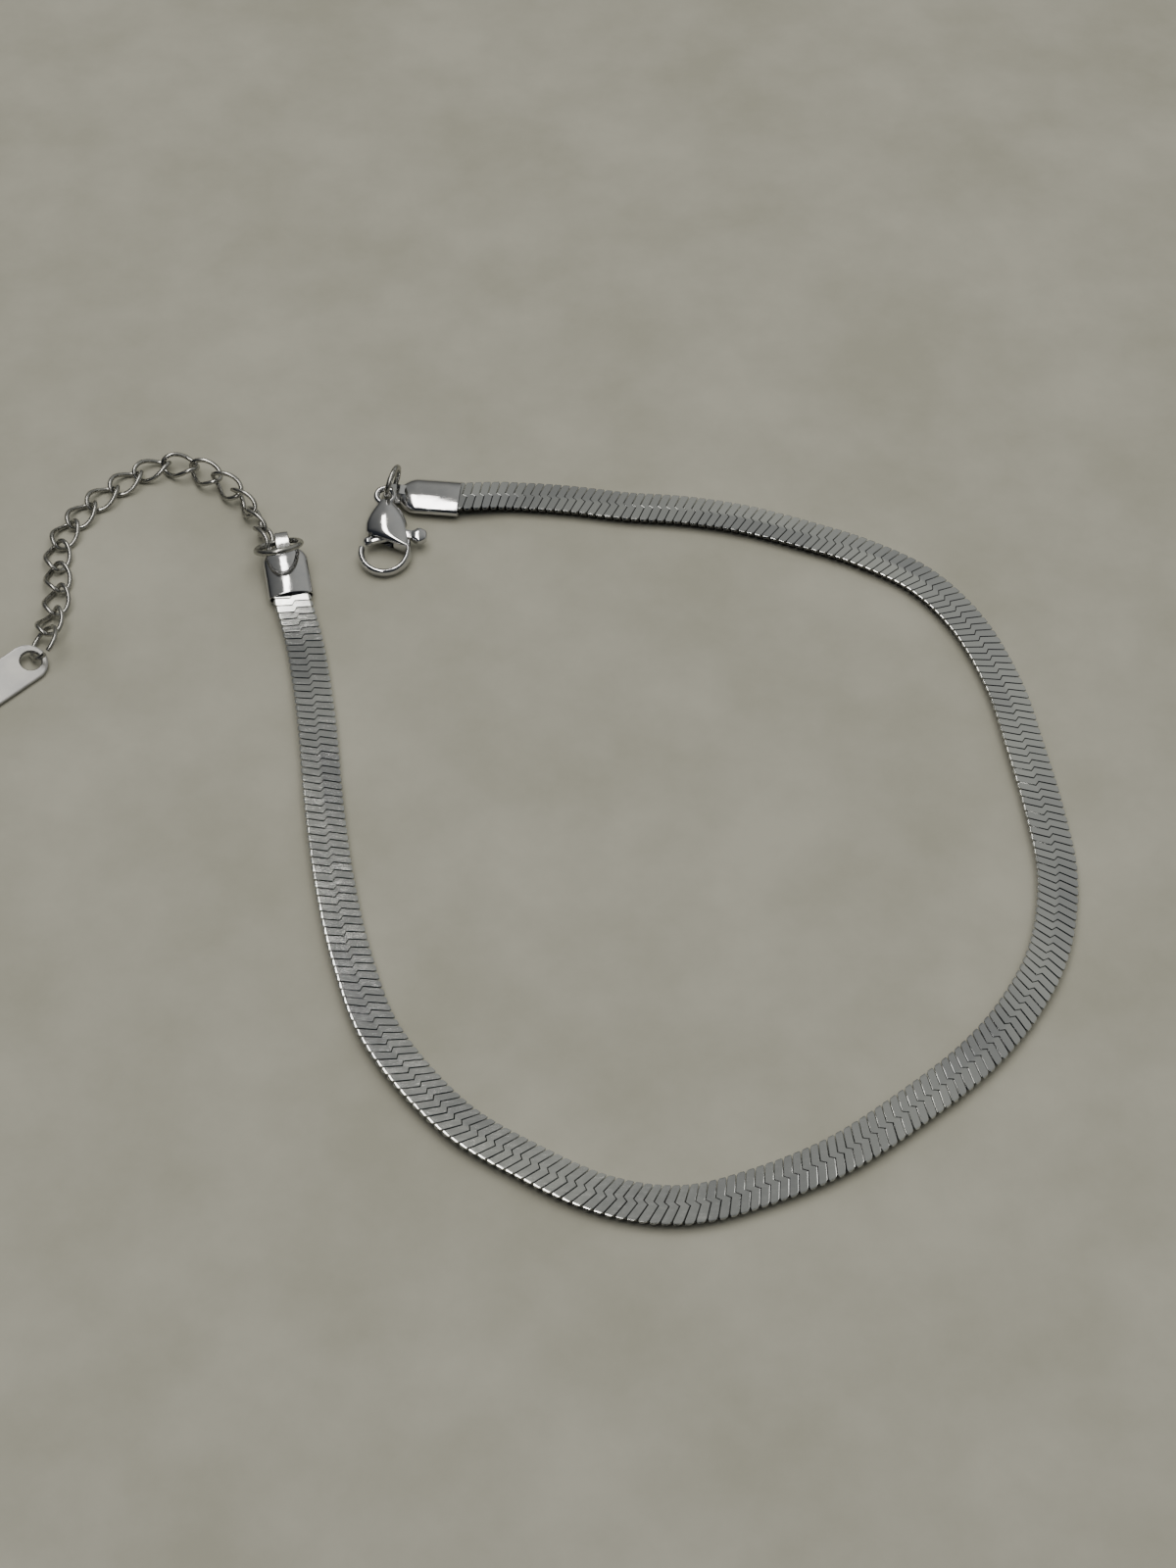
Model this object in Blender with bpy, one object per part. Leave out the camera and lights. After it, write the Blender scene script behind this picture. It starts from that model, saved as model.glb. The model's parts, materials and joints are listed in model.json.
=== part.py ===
"""Chain anklet, lying open on a flat surface.

A flat herringbone chain runs between two end caps. One cap carries a lobster clasp on a jump
ring. The other carries an extender of twisted curb links that ends in a small flat tag.
Metres, +Z up, +X right and +Y away from the viewer. The origin is under the middle of the
whole anklet, on the surface that it lies on.
"""

from math import acos, asin, atan2, cos, floor, pi, radians, sin, sqrt, tan

import bmesh
import bpy
from mathutils import Matrix, Vector

MM = 0.001

# Clear space that parts keep where the real ones touch
GAP = 0.3 * MM
WIRE_GAP = 0.15 * MM

# Herringbone chain: one flat band of slanted links
BAND_WIDTH = 4.0 * MM
BAND_THICKNESS = 1.2 * MM
BAND_EDGE = 0.4 * MM
BAND_CROWN = 0.08 * MM
LINK_PITCH = 0.92 * MM
LINK_RELIEF = 0.1 * MM
LINK_SLANT = 0.7 * MM
LINK_STEP = 0.46 * MM
STEP_WIDTH = 0.36 * MM
TAIL_LENGTH = 3.0 * MM
RISE_LENGTH = 7.0 * MM

# End caps: flattened cups with a strap loop at the closed end
CAP_WIDTH = 4.75 * MM
CAP_HEIGHT = 2.0 * MM
CAP_WALL = 0.22 * MM
CAP_LENGTH = 6.4 * MM
CAP_SHOULDER = 1.8 * MM
CAP_FLOOR = 0.8 * MM
CAP_ROUNDNESS = 2.6
STRAP_WIDTH = 1.5 * MM
STRAP_PLAY = 0.25 * MM
STRAP_THICKNESS = 0.32 * MM
STRAP_LENGTH = 2.1 * MM

# Jump rings, measured over the outside
CLASP_RING_DIAMETER = 4.3 * MM
CLASP_RING_WIRE = 0.6 * MM
EXTENDER_RING_DIAMETER = 5.4 * MM
EXTENDER_RING_WIRE = 0.65 * MM
TAG_RING_DIAMETER = 4.3 * MM
TAG_RING_WIRE = 0.5 * MM

# Lobster clasp
CLASP_LENGTH = 11.2 * MM
CLASP_WIDTH = 5.7 * MM
CLASP_THICKNESS = 2.2 * MM
CLASP_EYE_DIAMETER = 2.5 * MM
CLASP_EYE_WIRE = 0.65 * MM
HOOK_WIDTH = 0.85 * MM
HOOK_THICKNESS = 1.4 * MM
TRIGGER_THICKNESS = 0.7 * MM
TRIGGER_WIDTH = 1.1 * MM
THUMB_DIAMETER = 1.8 * MM
PIN_DIAMETER = 0.7 * MM
SLOT_GAP = 0.18 * MM
TRIGGER_TRAVEL = 24.0

# Extender: twisted oval links
EXTENDER_LINK_LENGTH = 4.65 * MM
EXTENDER_LINK_WIDTH = 3.2 * MM
EXTENDER_LINK_WIRE = 0.6 * MM
EXTENDER_LINK_TWIST = -45.0
EXTENDER_LINK_PLAY = 0.2 * MM

# End tag
TAG_LENGTH = 12.0 * MM
TAG_WIDTH = 4.2 * MM
TAG_THICKNESS = 0.5 * MM
TAG_HOLE = 2.2 * MM
TAG_HOLE_TO_END = 1.7 * MM
TAG_CHAMFER = 0.12 * MM

# Places of the parts as they lie, in millimetres from the middle of the open loop
CHAIN_ROUTE_MM = [
    (-16.8, 38.35), (-13.8, 38.05), (-8.5, 38.5), (-2.1, 38.0), (4.2, 37.0), (10.5, 36.4),
    (16.8, 35.1), (23.0, 32.9), (29.2, 30.2), (35.1, 26.2), (39.5, 20.0), (42.3, 12.1),
    (43.6, 4.4), (44.7, -4.0), (45.1, -12.0), (43.5, -20.1), (40.2, -26.5), (35.8, -31.9),
    (30.1, -36.8), (22.7, -42.1), (15.6, -45.4), (8.6, -47.3), (1.7, -46.4), (-5.2, -43.1),
    (-12.3, -38.3), (-18.9, -30.0), (-22.2, -21.4), (-24.4, -12.4), (-26.0, -2.9),
    (-27.3, 7.0), (-29.1, 17.0), (-31.0, 23.8), (-31.6, 26.8),
]
EXTENDER_ROUTE_MM = [
    (-34.3, 31.6), (-34.9, 33.6), (-36.0, 35.6), (-37.0, 37.6), (-39.3, 39.7), (-41.7, 41.8),
    (-44.7, 43.4), (-47.8, 43.0), (-50.2, 41.0), (-52.6, 38.6), (-54.4, 36.3), (-55.9, 33.4),
    (-56.5, 30.5), (-56.0, 27.3), (-55.4, 23.8), (-55.8, 20.4), (-56.0, 18.0),
]
TAG_BEARING = -135.0
CLASP_BEARING = -88.5
CLASP_RING_BEARING = 72.0
CLASP_RING_LEAN = 8.0
CLASP_EYE_CLIMB = 84.0
CLASP_EYE_OFFSET_MM = (-0.1, 0.1)
EXTENDER_RING_LEAN = 55.0
EXTENDER_RING_SWING = 6.0
EXTENDER_RING_SHIFT = 17.0
EXTENDER_CAP_PITCH = 6.0
EXTENDER_RING_CLIMB = 26.0
EXTENDER_FIRST_PLAY = 0.45 * MM
EXTENDER_START_ROLLS = (64.0, 76.0, 96.0, 120.0, 146.0, 168.0)
EXTENDER_END_ROLLS = (8.0, 15.0)
TAG_RING_REST = 1.6 * MM
TAG_RING_BEARING = -92.0
TAG_RING_CLIMB = 36.0
TAG_ROLL = -16.0
TAG_PULL = 0.5 * MM

# Sections of the clasp's body from the neck to the root of the hook. Left and right ends are
# shares of the half width, their distances from the eye are shares of the length, and the
# thickness is a share of the whole thickness.
CLASP_SECTIONS = [
    {"left": -0.22, "left_down": 0.060, "right": 0.24, "right_down": 0.060, "thick": 0.42},
    {"left": -0.36, "left_down": 0.115, "right": 0.42, "right_down": 0.115, "thick": 0.62},
    {"left": -0.54, "left_down": 0.190, "right": 0.62, "right_down": 0.190, "thick": 0.84},
    {"left": -0.69, "left_down": 0.280, "right": 0.78, "right_down": 0.280, "thick": 0.98},
    {"left": -0.73, "left_down": 0.375, "right": 0.89, "right_down": 0.400, "thick": 1.00},
    {"left": -0.60, "left_down": 0.455, "right": 0.97, "right_down": 0.505, "thick": 0.94},
    {"left": 0.30, "left_down": 0.565, "right": 0.99, "right_down": 0.570, "thick": 0.84},
]
HOOK_FIRST_ANGLE = 6.0
HOOK_LAST_ANGLE = -192.0
HOOK_TIP_SHARE = 0.6
# Middle of the lever's pin, as shares of the half width and of the length below the eye
PIVOT_ACROSS = 0.50
PIVOT_DOWN = 0.430
# Radius of the lever's hub, as a share of half its arm's width
HUB_SHARE = 1.15

# Facet counts
BAND_RINGS_PER_LINK = 2
CAP_SIDES = 24
ROUND_SIDES = 16
WIRE_SIDES = 6
EYE_WIRE_SIDES = 8
LINK_SEGMENTS = 14
HOOK_STEPS = 14
FAN_STEPS = 4

UP = Vector((0.0, 0.0, 1.0))

STEEL = {"color": (0.50, 0.50, 0.50, 1.0), "metallic": 1.0, "roughness": 0.32}
POLISHED = {"color": (0.46, 0.47, 0.48, 1.0), "metallic": 1.0, "roughness": 0.12}
PLATED = {"color": (0.42, 0.42, 0.41, 1.0), "metallic": 1.0, "roughness": 0.22}


def clear_scene():
    for old in list(bpy.data.objects):
        bpy.data.objects.remove(old, do_unlink=True)


def make_material(name, finish):
    material = bpy.data.materials.new(name)
    material.use_nodes = True
    shader = material.node_tree.nodes["Principled BSDF"]
    shader.inputs["Base Color"].default_value = finish["color"]
    shader.inputs["Metallic"].default_value = finish["metallic"]
    shader.inputs["Roughness"].default_value = finish["roughness"]
    return material


def add_object(name, bm, finish, root=None):
    bmesh.ops.recalc_face_normals(bm, faces=bm.faces)
    mesh = bpy.data.meshes.new(name)
    bm.to_mesh(mesh)
    bm.free()
    mesh.shade_smooth()
    mesh.set_sharp_from_angle(angle=radians(35))
    mesh.materials.append(make_material(name, finish))
    thing = bpy.data.objects.new(name, mesh)
    bpy.context.scene.collection.objects.link(thing)
    thing.parent = root
    return thing


def add_tool(name, bm, root=None):
    """A cutter or a piece to be joined: it stays out of the finished model."""
    tool = add_object(name, bm, STEEL, root)
    tool.hide_render = True
    tool.display_type = "WIRE"
    return tool


def use_boolean(thing, tool, operation):
    step = thing.modifiers.new(operation.lower() + "_" + tool.name, "BOOLEAN")
    step.operation = operation
    step.solver = "EXACT"
    step.object = tool


def frame_from(origin, along, up=UP):
    """A frame at origin whose X runs along, with Z as near to up as it can be."""
    x_axis = along.normalized()
    y_axis = up.cross(x_axis).normalized()
    z_axis = x_axis.cross(y_axis)
    turn = Matrix((x_axis, y_axis, z_axis)).transposed().to_4x4()
    return Matrix.Translation(origin) @ turn


def loft(rings, close_ends=True, loop=False):
    """A skin over rings of points that all hold the same number of points."""
    bm = bmesh.new()
    rows = [[bm.verts.new(point) for point in ring] for ring in rings]
    pairs = list(zip(rows, rows[1:]))
    if loop:
        pairs.append((rows[-1], rows[0]))
    for first, second in pairs:
        for index in range(len(first)):
            following = (index + 1) % len(first)
            bm.faces.new((first[index], first[following], second[following], second[index]))
    if close_ends and not loop:
        bm.faces.new(rows[0])
        bm.faces.new(list(reversed(rows[-1])))
    return bm


def extrude_outline(outline, low, high):
    """A plate from an outline of (x, y) points, between two heights."""
    return loft([[Vector((x, y, low)) for x, y in outline], [Vector((x, y, high)) for x, y in outline]])


def smooth_route(points_mm, samples=16):
    """Evenly dense points on a Catmull-Rom curve through the chosen points, in metres."""
    points = [Vector((x, y)) * MM for x, y in points_mm]
    padded = [2 * points[0] - points[1]] + points + [2 * points[-1] - points[-2]]
    curve = []
    for before, start, end, after in zip(padded, padded[1:], padded[2:], padded[3:]):
        for step in range(samples):
            t = step / samples
            pull_in = 0.5 * (end - before)
            pull_out = 0.5 * (after - start)
            curve.append(start * (2 * t ** 3 - 3 * t ** 2 + 1) + end * (3 * t ** 2 - 2 * t ** 3)
                         + pull_in * (t ** 3 - 2 * t ** 2 + t) + pull_out * (t ** 3 - t ** 2))
    curve.append(points[-1])
    return curve


def run_lengths(curve):
    lengths = [0.0]
    for start, end in zip(curve, curve[1:]):
        lengths.append(lengths[-1] + (end - start).length)
    return lengths


def point_at(curve, lengths, distance):
    """The point and the direction at a distance along the curve, straight on past its ends."""
    index = 1
    while index < len(curve) - 1 and lengths[index] < distance:
        index += 1
    start, end = curve[index - 1], curve[index]
    direction = (end - start).normalized()
    return start + direction * (distance - lengths[index - 1]), direction


def ring_path(radius, segments):
    """Points of a circle in the XY plane."""
    angles = [2 * pi * i / segments for i in range(segments)]
    return [Vector((radius * cos(angle), radius * sin(angle), 0.0)) for angle in angles]


def wire_rings(path, radius, sides):
    """Cross-sections of a round wire, square to its closed path round the origin."""
    rings = []
    count = len(path)
    for index, point in enumerate(path):
        tangent = (path[(index + 1) % count] - path[index - 1]).normalized()
        outward = point.normalized()
        side = (outward - tangent * outward.dot(tangent)).normalized()
        rise = side.cross(tangent)
        angles = [2 * pi * k / sides for k in range(sides)]
        rings.append([point + radius * (side * cos(angle) + rise * sin(angle)) for angle in angles])
    return rings


def make_ring(diameter, wire):
    """A jump ring in the XY plane round the origin."""
    path = ring_path((diameter - wire) / 2, ROUND_SIDES)
    return loft(wire_rings(path, wire / 2, WIRE_SIDES), loop=True)


# Chain

def band_height(distance, total):
    """Height of the chain's middle: flat on the surface, rising into each cap along its axis."""
    slope = tan(radians(EXTENDER_CAP_PITCH)) if distance > total / 2 else 0.0
    outside = min(distance, total - distance) - TAIL_LENGTH
    if outside < 0.0:
        return CAP_HEIGHT / 2 - slope * outside
    share = min(outside / RISE_LENGTH, 1.0)
    ease = share * share * (3 - 2 * share)
    leave = share * (1 - share) ** 2
    return CAP_HEIGHT / 2 * (1 - ease) + BAND_THICKNESS / 2 * ease - slope * RISE_LENGTH * leave


def seam_shift(offset):
    """How far a link's seam runs ahead at a place across the band: two slants and a step."""
    half = BAND_WIDTH / 2
    slant = LINK_SLANT * offset / half
    blend = min(max(offset / STEP_WIDTH + 0.5, 0.0), 1.0)
    return slant - LINK_STEP * (blend - 0.5)


def band_section(ridge, narrow):
    """Points round the band as (across, up), flat underneath, narrower inside a cap."""
    width, thickness = BAND_WIDTH, BAND_THICKNESS
    if narrow:
        width = min(width, CAP_WIDTH - 2 * CAP_WALL - 3 * GAP)
        thickness = min(thickness, CAP_HEIGHT - 2 * CAP_WALL - 2 * GAP)
    sink = 0.0 if ridge else LINK_RELIEF
    half = width / 2 - sink
    shoulder = half - BAND_EDGE
    top = thickness / 2 - sink
    middle = STEP_WIDTH / 2
    return [(-half, 0.0), (-shoulder, top - BAND_CROWN), (-middle, top), (middle, top),
            (shoulder, top - BAND_CROWN), (half, 0.0),
            (shoulder, -thickness / 2), (-shoulder, -thickness / 2)]


def make_chain(root):
    curve = smooth_route(CHAIN_ROUTE_MM)
    lengths = run_lengths(curve)
    total = lengths[-1]
    spacing = LINK_PITCH / BAND_RINGS_PER_LINK
    reach = LINK_STEP + LINK_SLANT
    rings = []
    for index in range(floor((total - 2 * reach) / spacing) + 1):
        station = reach + index * spacing
        inside_cap = min(station, total - station) < TAIL_LENGTH + GAP
        ring = []
        for across, up in band_section(index % BAND_RINGS_PER_LINK == 0, inside_cap):
            distance = station + seam_shift(across)
            place, direction = point_at(curve, lengths, distance)
            left = Vector((-direction.y, direction.x))
            spot = place + left * across
            ring.append(Vector((spot.x, spot.y, band_height(distance, total) + up)))
        rings.append(ring)
    return add_object("herringbone_chain", loft(rings), STEEL, root)


def chain_end(at_start):
    """Where a cap sits: the middle of its mouth and the way to its closed end."""
    curve = smooth_route(CHAIN_ROUTE_MM)
    lengths = run_lengths(curve)
    distance = TAIL_LENGTH if at_start else lengths[-1] - TAIL_LENGTH
    mouth, direction = point_at(curve, lengths, distance)
    tail = curve[0] if at_start else curve[-1]
    outward = (tail - mouth).normalized()
    pitch = 0.0 if at_start else radians(EXTENDER_CAP_PITCH)
    return (Vector((mouth.x, mouth.y, CAP_HEIGHT / 2)),
            Vector((outward.x * cos(pitch), outward.y * cos(pitch), sin(pitch))))


# End caps

def cap_section(width, height, along):
    """A flattened oval across the cap's axis, which is X here."""
    points = []
    for index in range(CAP_SIDES):
        angle = 2 * pi * index / CAP_SIDES
        power = 2 / CAP_ROUNDNESS
        across = abs(cos(angle)) ** power * (1 if cos(angle) >= 0 else -1)
        up = abs(sin(angle)) ** power * (1 if sin(angle) >= 0 else -1)
        points.append(Vector((along, across * width / 2, up * height / 2)))
    return points


def make_cap(name, place, root):
    """A cup whose mouth is at the frame's origin and whose strap loop points along X."""
    straight = CAP_LENGTH - CAP_SHOULDER
    neck_width = STRAP_WIDTH + 3 * STRAP_THICKNESS
    rings = [cap_section(CAP_WIDTH, CAP_HEIGHT, 0.0), cap_section(CAP_WIDTH, CAP_HEIGHT, straight)]
    for share in (0.35, 0.7, 1.0):
        ease = share * share
        rings.append(cap_section(CAP_WIDTH + (neck_width - CAP_WIDTH) * ease,
                                 CAP_HEIGHT * (1 - 0.15 * ease), straight + CAP_SHOULDER * share))
    cap = add_object(name, loft(rings), POLISHED, root)
    inner_width = CAP_WIDTH - 2 * CAP_WALL
    inner_height = CAP_HEIGHT - 2 * CAP_WALL
    hollow = loft([cap_section(inner_width, inner_height, -CAP_WALL),
                   cap_section(inner_width, inner_height, straight - CAP_FLOOR)])
    strap_half = strap_height() / 2
    outline = [(CAP_LENGTH - CAP_SHOULDER / 2, -strap_half)]
    centre = CAP_LENGTH + STRAP_LENGTH - strap_half
    outline += [(centre + strap_half * sin(pi * i / 8), -strap_half * cos(pi * i / 8)) for i in range(9)]
    outline.append((CAP_LENGTH - CAP_SHOULDER / 2, strap_half))
    strap = standing_plate(outline, STRAP_WIDTH)
    eye_half = strap_half - STRAP_THICKNESS
    eye = [(CAP_LENGTH + STRAP_THICKNESS / 2, -eye_half)]
    eye += [(centre + eye_half * sin(pi * i / 8), -eye_half * cos(pi * i / 8)) for i in range(9)]
    eye.append((CAP_LENGTH + STRAP_THICKNESS / 2, eye_half))
    opening = standing_plate(eye, STRAP_WIDTH + 2 * CAP_WALL)
    cap.matrix_local = place
    for tool_bm, suffix, operation in ((strap, "strap", "UNION"), (hollow, "hollow", "DIFFERENCE"),
                                       (opening, "opening", "DIFFERENCE")):
        tool = add_tool(name + "_" + suffix, tool_bm, root)
        tool.matrix_local = place
        use_boolean(cap, tool, operation)
    return cap


def strap_height():
    """Outer height of the strap loop: it clears the ring's bow inside its tunnel."""
    wire = max(CLASP_RING_WIRE, EXTENDER_RING_WIRE)
    radius = (min(CLASP_RING_DIAMETER, EXTENDER_RING_DIAMETER) - wire) / 2
    bow = radius - sqrt(radius ** 2 - (STRAP_WIDTH / 2) ** 2)
    return wire + bow + 2 * STRAP_PLAY + 2 * STRAP_THICKNESS


def standing_plate(outline, width):
    """A plate whose outline lies in XZ, with its width across Y."""
    return loft([[Vector((x, -width / 2, z)) for x, z in outline],
                 [Vector((x, width / 2, z)) for x, z in outline]])


def ring_seat(place, wire):
    """Where a ring's wire lies in a cap's strap loop."""
    half = strap_height() / 2 - STRAP_THICKNESS
    reach = CAP_LENGTH + STRAP_LENGTH - strap_height() / 2
    return place @ Vector((reach, 0.0, -half + STRAP_PLAY + wire / 2))


# Clasp

def clasp_frame(eye_centre):
    """Frame of the clasp: origin at the eye, X across, Y from the hook to the eye, Z off its face."""
    bearing = radians(CLASP_BEARING)
    along = Vector((cos(bearing), sin(bearing), 0.0))
    reach = CLASP_LENGTH - CLASP_EYE_DIAMETER / 2 - HOOK_WIDTH / 2
    drop = asin((eye_centre.z - HOOK_THICKNESS / 2) / reach)
    y_axis = -(along * cos(drop) - UP * sin(drop))
    x_axis = y_axis.cross(UP).normalized()
    z_axis = x_axis.cross(y_axis)
    turn = Matrix((x_axis, y_axis, z_axis)).transposed().to_4x4()
    return Matrix.Translation(eye_centre) @ turn


def hook_centre():
    """Middle of the hook's round, in the clasp's frame."""
    below = CLASP_LENGTH - CLASP_EYE_DIAMETER / 2 - CLASP_WIDTH / 2
    return Vector((0.0, -below, 0.0))


def clasp_section(left, right, half_thickness):
    """An oval between two ends in the clasp's plane."""
    middle = (left + right) / 2
    half = (right - left) / 2
    angles = [2 * pi * k / ROUND_SIDES for k in range(ROUND_SIDES)]
    return [middle + half * cos(angle) + UP * half_thickness * sin(angle) for angle in angles]


def clasp_body_mesh():
    rings = []
    half_width = CLASP_WIDTH / 2
    for row in CLASP_SECTIONS:
        left = Vector((row["left"] * half_width, -row["left_down"] * CLASP_LENGTH, 0.0))
        right = Vector((row["right"] * half_width, -row["right_down"] * CLASP_LENGTH, 0.0))
        rings.append(clasp_section(left, right, row["thick"] * CLASP_THICKNESS / 2))
    centre = hook_centre()
    first, last = radians(HOOK_FIRST_ANGLE), radians(HOOK_LAST_ANGLE)
    root_thickness = CLASP_SECTIONS[-1]["thick"] * CLASP_THICKNESS
    for step in range(HOOK_STEPS + 1):
        share = step / HOOK_STEPS
        angle = first + (last - first) * share
        outward = Vector((cos(angle), sin(angle), 0.0))
        outer = centre + outward * half_width
        inner = centre + outward * (half_width - HOOK_WIDTH)
        settle = min(share * 3, 1.0)
        thickness = root_thickness + (HOOK_THICKNESS - root_thickness) * settle
        tip = HOOK_TIP_SHARE if step == HOOK_STEPS else 1.0
        draw_in = (outer - inner) * (1 - tip) / 2
        rings.append(clasp_section(inner + draw_in, outer - draw_in, tip * thickness / 2))
    return loft(rings)


def disc(centre, radius, low, high, sides=ROUND_SIDES):
    outline = [(centre.x + point.x, centre.y + point.y) for point in ring_path(radius, sides)]
    return extrude_outline(outline, low, high)


def trigger_pivot():
    """The pin's place in the clasp's frame, inside the spine just above the hook's root."""
    return Vector((PIVOT_ACROSS * CLASP_WIDTH / 2, -PIVOT_DOWN * CLASP_LENGTH, 0.0))


def trigger_points():
    """Middle of the lever's tip and of its thumb piece, in the clasp's frame."""
    half_width = CLASP_WIDTH / 2
    tip_angle = radians(HOOK_LAST_ANGLE)
    hook_tip = hook_centre() + Vector((cos(tip_angle), sin(tip_angle), 0.0)) * (half_width - HOOK_WIDTH / 2)
    tip = hook_tip + Vector((TRIGGER_WIDTH / 2 + GAP + 0.1 * HOOK_WIDTH, TRIGGER_WIDTH * 0.75, 0.0))
    thumb = Vector((half_width + THUMB_DIAMETER * 0.45, trigger_pivot().y - 0.2 * THUMB_DIAMETER, 0.0))
    return tip, thumb


def capsule(start, end, start_radius, end_radius):
    """Outline of two circles of any size and the straight sides between them."""
    heading = end - start
    turn = atan2(heading.y, heading.x)
    spread = asin((start_radius - end_radius) / heading.length)
    half = ROUND_SIDES // 2
    outline = []
    for k in range(half + 1):
        angle = turn - pi / 2 + spread + (pi - 2 * spread) * k / half
        outline.append((end.x + end_radius * cos(angle), end.y + end_radius * sin(angle)))
    for k in range(half + 1):
        angle = turn + pi / 2 - spread + (pi + 2 * spread) * k / half
        outline.append((start.x + start_radius * cos(angle), start.y + start_radius * sin(angle)))
    return outline


def make_clasp(place, root):
    body = add_object("clasp_body", clasp_body_mesh(), POLISHED, root)
    body.matrix_local = place
    pivot = trigger_pivot()
    tip, thumb = trigger_points()
    slot_half = TRIGGER_THICKNESS / 2 + SLOT_GAP
    eye_radius = (CLASP_EYE_DIAMETER - CLASP_EYE_WIRE) / 2
    eye_wire = wire_rings(ring_path(eye_radius, ROUND_SIDES), CLASP_EYE_WIRE / 2, EYE_WIRE_SIDES)
    eye_hole = disc(Vector(), eye_radius - CLASP_EYE_WIRE / 2, -CLASP_THICKNESS, CLASP_THICKNESS)
    pin_half = 0.36 * CLASP_THICKNESS
    tools = [
        ("hole", eye_hole, "DIFFERENCE"),
        ("eye", loft(eye_wire, loop=True), "UNION"),
        ("slot", extrude_outline(slot_outline(pivot, tip, thumb), -slot_half, slot_half), "DIFFERENCE"),
        ("pin", disc(pivot, PIN_DIAMETER / 2, -pin_half, pin_half), "UNION"),
    ]
    for suffix, bm, operation in tools:
        tool = add_tool("clasp_" + suffix, bm, root)
        tool.matrix_local = place
        use_boolean(body, tool, operation)
    return body


def slot_fan(arm, beyond, side):
    """Sweep of one arm of the lever from rest to open: the way off each straight side, and its rim."""
    turns = [Matrix.Rotation(radians(TRIGGER_TRAVEL) * k / FAN_STEPS, 3, "Z") for k in range(FAN_STEPS + 1)]
    headings = [(turn @ arm).normalized() for turn in turns]
    quarter = Matrix.Rotation(pi / 2, 3, "Z")
    behind = -(quarter @ headings[0])
    before = quarter @ headings[-1]
    reach = arm.length + beyond
    rim = [heading * reach for heading in headings]
    return behind, before, [rim[0] + behind * side] + rim + [rim[-1] + before * side]


def slot_outline(pivot, tip, thumb):
    """Room for the lever at every angle: a fan on each side of the pin, tangent to its hub."""
    side = TRIGGER_WIDTH / 2 * HUB_SHARE + SLOT_GAP
    tip_behind, tip_before, tip_rim = slot_fan(tip - pivot, TRIGGER_WIDTH / 2 + SLOT_GAP, side)
    thumb_behind, thumb_before, thumb_rim = slot_fan(thumb - pivot, THUMB_DIAMETER / 2 + SLOT_GAP, side)
    below = (tip_before + thumb_behind) * side / (1 + tip_before.dot(thumb_behind))
    above = (thumb_before + tip_behind) * side / (1 + thumb_before.dot(tip_behind))
    return [(pivot.x + corner.x, pivot.y + corner.y) for corner in tip_rim + [below] + thumb_rim + [above]]


def make_trigger(place, root):
    """The sprung lever, with its own origin on the pin."""
    pivot = trigger_pivot()
    tip, thumb = trigger_points()
    half = TRIGGER_THICKNESS / 2
    hinge = place @ Matrix.Translation(pivot)
    arm = capsule(Vector(), tip - pivot, TRIGGER_WIDTH / 2 * HUB_SHARE, TRIGGER_WIDTH / 2)
    trigger = add_object("clasp_trigger", extrude_outline(arm, -half, half), POLISHED, root)
    trigger.matrix_local = hinge
    hub_radius = PIN_DIAMETER / 2 + SLOT_GAP
    stem = capsule(Vector(), thumb - pivot, TRIGGER_WIDTH / 2, TRIGGER_WIDTH / 2 * 0.8)
    thumb_half = half * 1.5
    tools = [
        ("stem", extrude_outline(stem, -half, half), "UNION"),
        ("thumb", disc(thumb - pivot, THUMB_DIAMETER / 2, -thumb_half, thumb_half), "UNION"),
        ("bore", disc(Vector(), hub_radius, -CLASP_THICKNESS, CLASP_THICKNESS), "DIFFERENCE"),
    ]
    for suffix, bm, operation in tools:
        tool = add_tool("trigger_" + suffix, bm, root)
        tool.matrix_local = hinge
        use_boolean(trigger, tool, operation)
    return trigger


# Extender

def link_path():
    """Middle line of one oval link, along X, turned a little more the nearer to each end."""
    half_length = (EXTENDER_LINK_LENGTH - EXTENDER_LINK_WIRE) / 2
    half_width = (EXTENDER_LINK_WIDTH - EXTENDER_LINK_WIRE) / 2
    twist = radians(EXTENDER_LINK_TWIST)
    path = []
    for index in range(LINK_SEGMENTS):
        angle = 2 * pi * index / LINK_SEGMENTS
        along = half_length * cos(angle)
        across = half_width * sin(angle)
        turn = twist * cos(angle)
        path.append(Vector((along, across * cos(turn), across * sin(turn))))
    return path


def link_pitch():
    return EXTENDER_LINK_LENGTH - 2 * EXTENDER_LINK_WIRE - EXTENDER_LINK_PLAY


def link_rest_height(roll=0.0):
    """Height of a link's middle when its lowest side touches the surface."""
    turn = Matrix.Rotation(roll, 3, "X")
    return EXTENDER_LINK_WIRE / 2 - min((turn @ point).z for point in link_path())


def extender_joints(on_ring):
    """Where neighbouring links meet: even steps along the route, starting on the jump ring."""
    rest = link_rest_height()
    points = [Vector((point.x, point.y, rest)) for point in smooth_route(EXTENDER_ROUTE_MM)]
    lead = (points[0] - on_ring).normalized()
    joints = [on_ring - lead * (EXTENDER_RING_WIRE / 2 + EXTENDER_FIRST_PLAY - EXTENDER_LINK_PLAY / 2)]
    pitch = link_pitch()
    for start, end in zip(points, points[1:]):
        if (end - joints[-1]).length < pitch:
            continue
        heading = end - start
        offset = start - joints[-1]
        a, b = heading.length_squared, heading.dot(offset)
        c = offset.length_squared - pitch ** 2
        joints.append(start + heading * (sqrt(b * b - a * c) - b) / a)
    return joints


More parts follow.
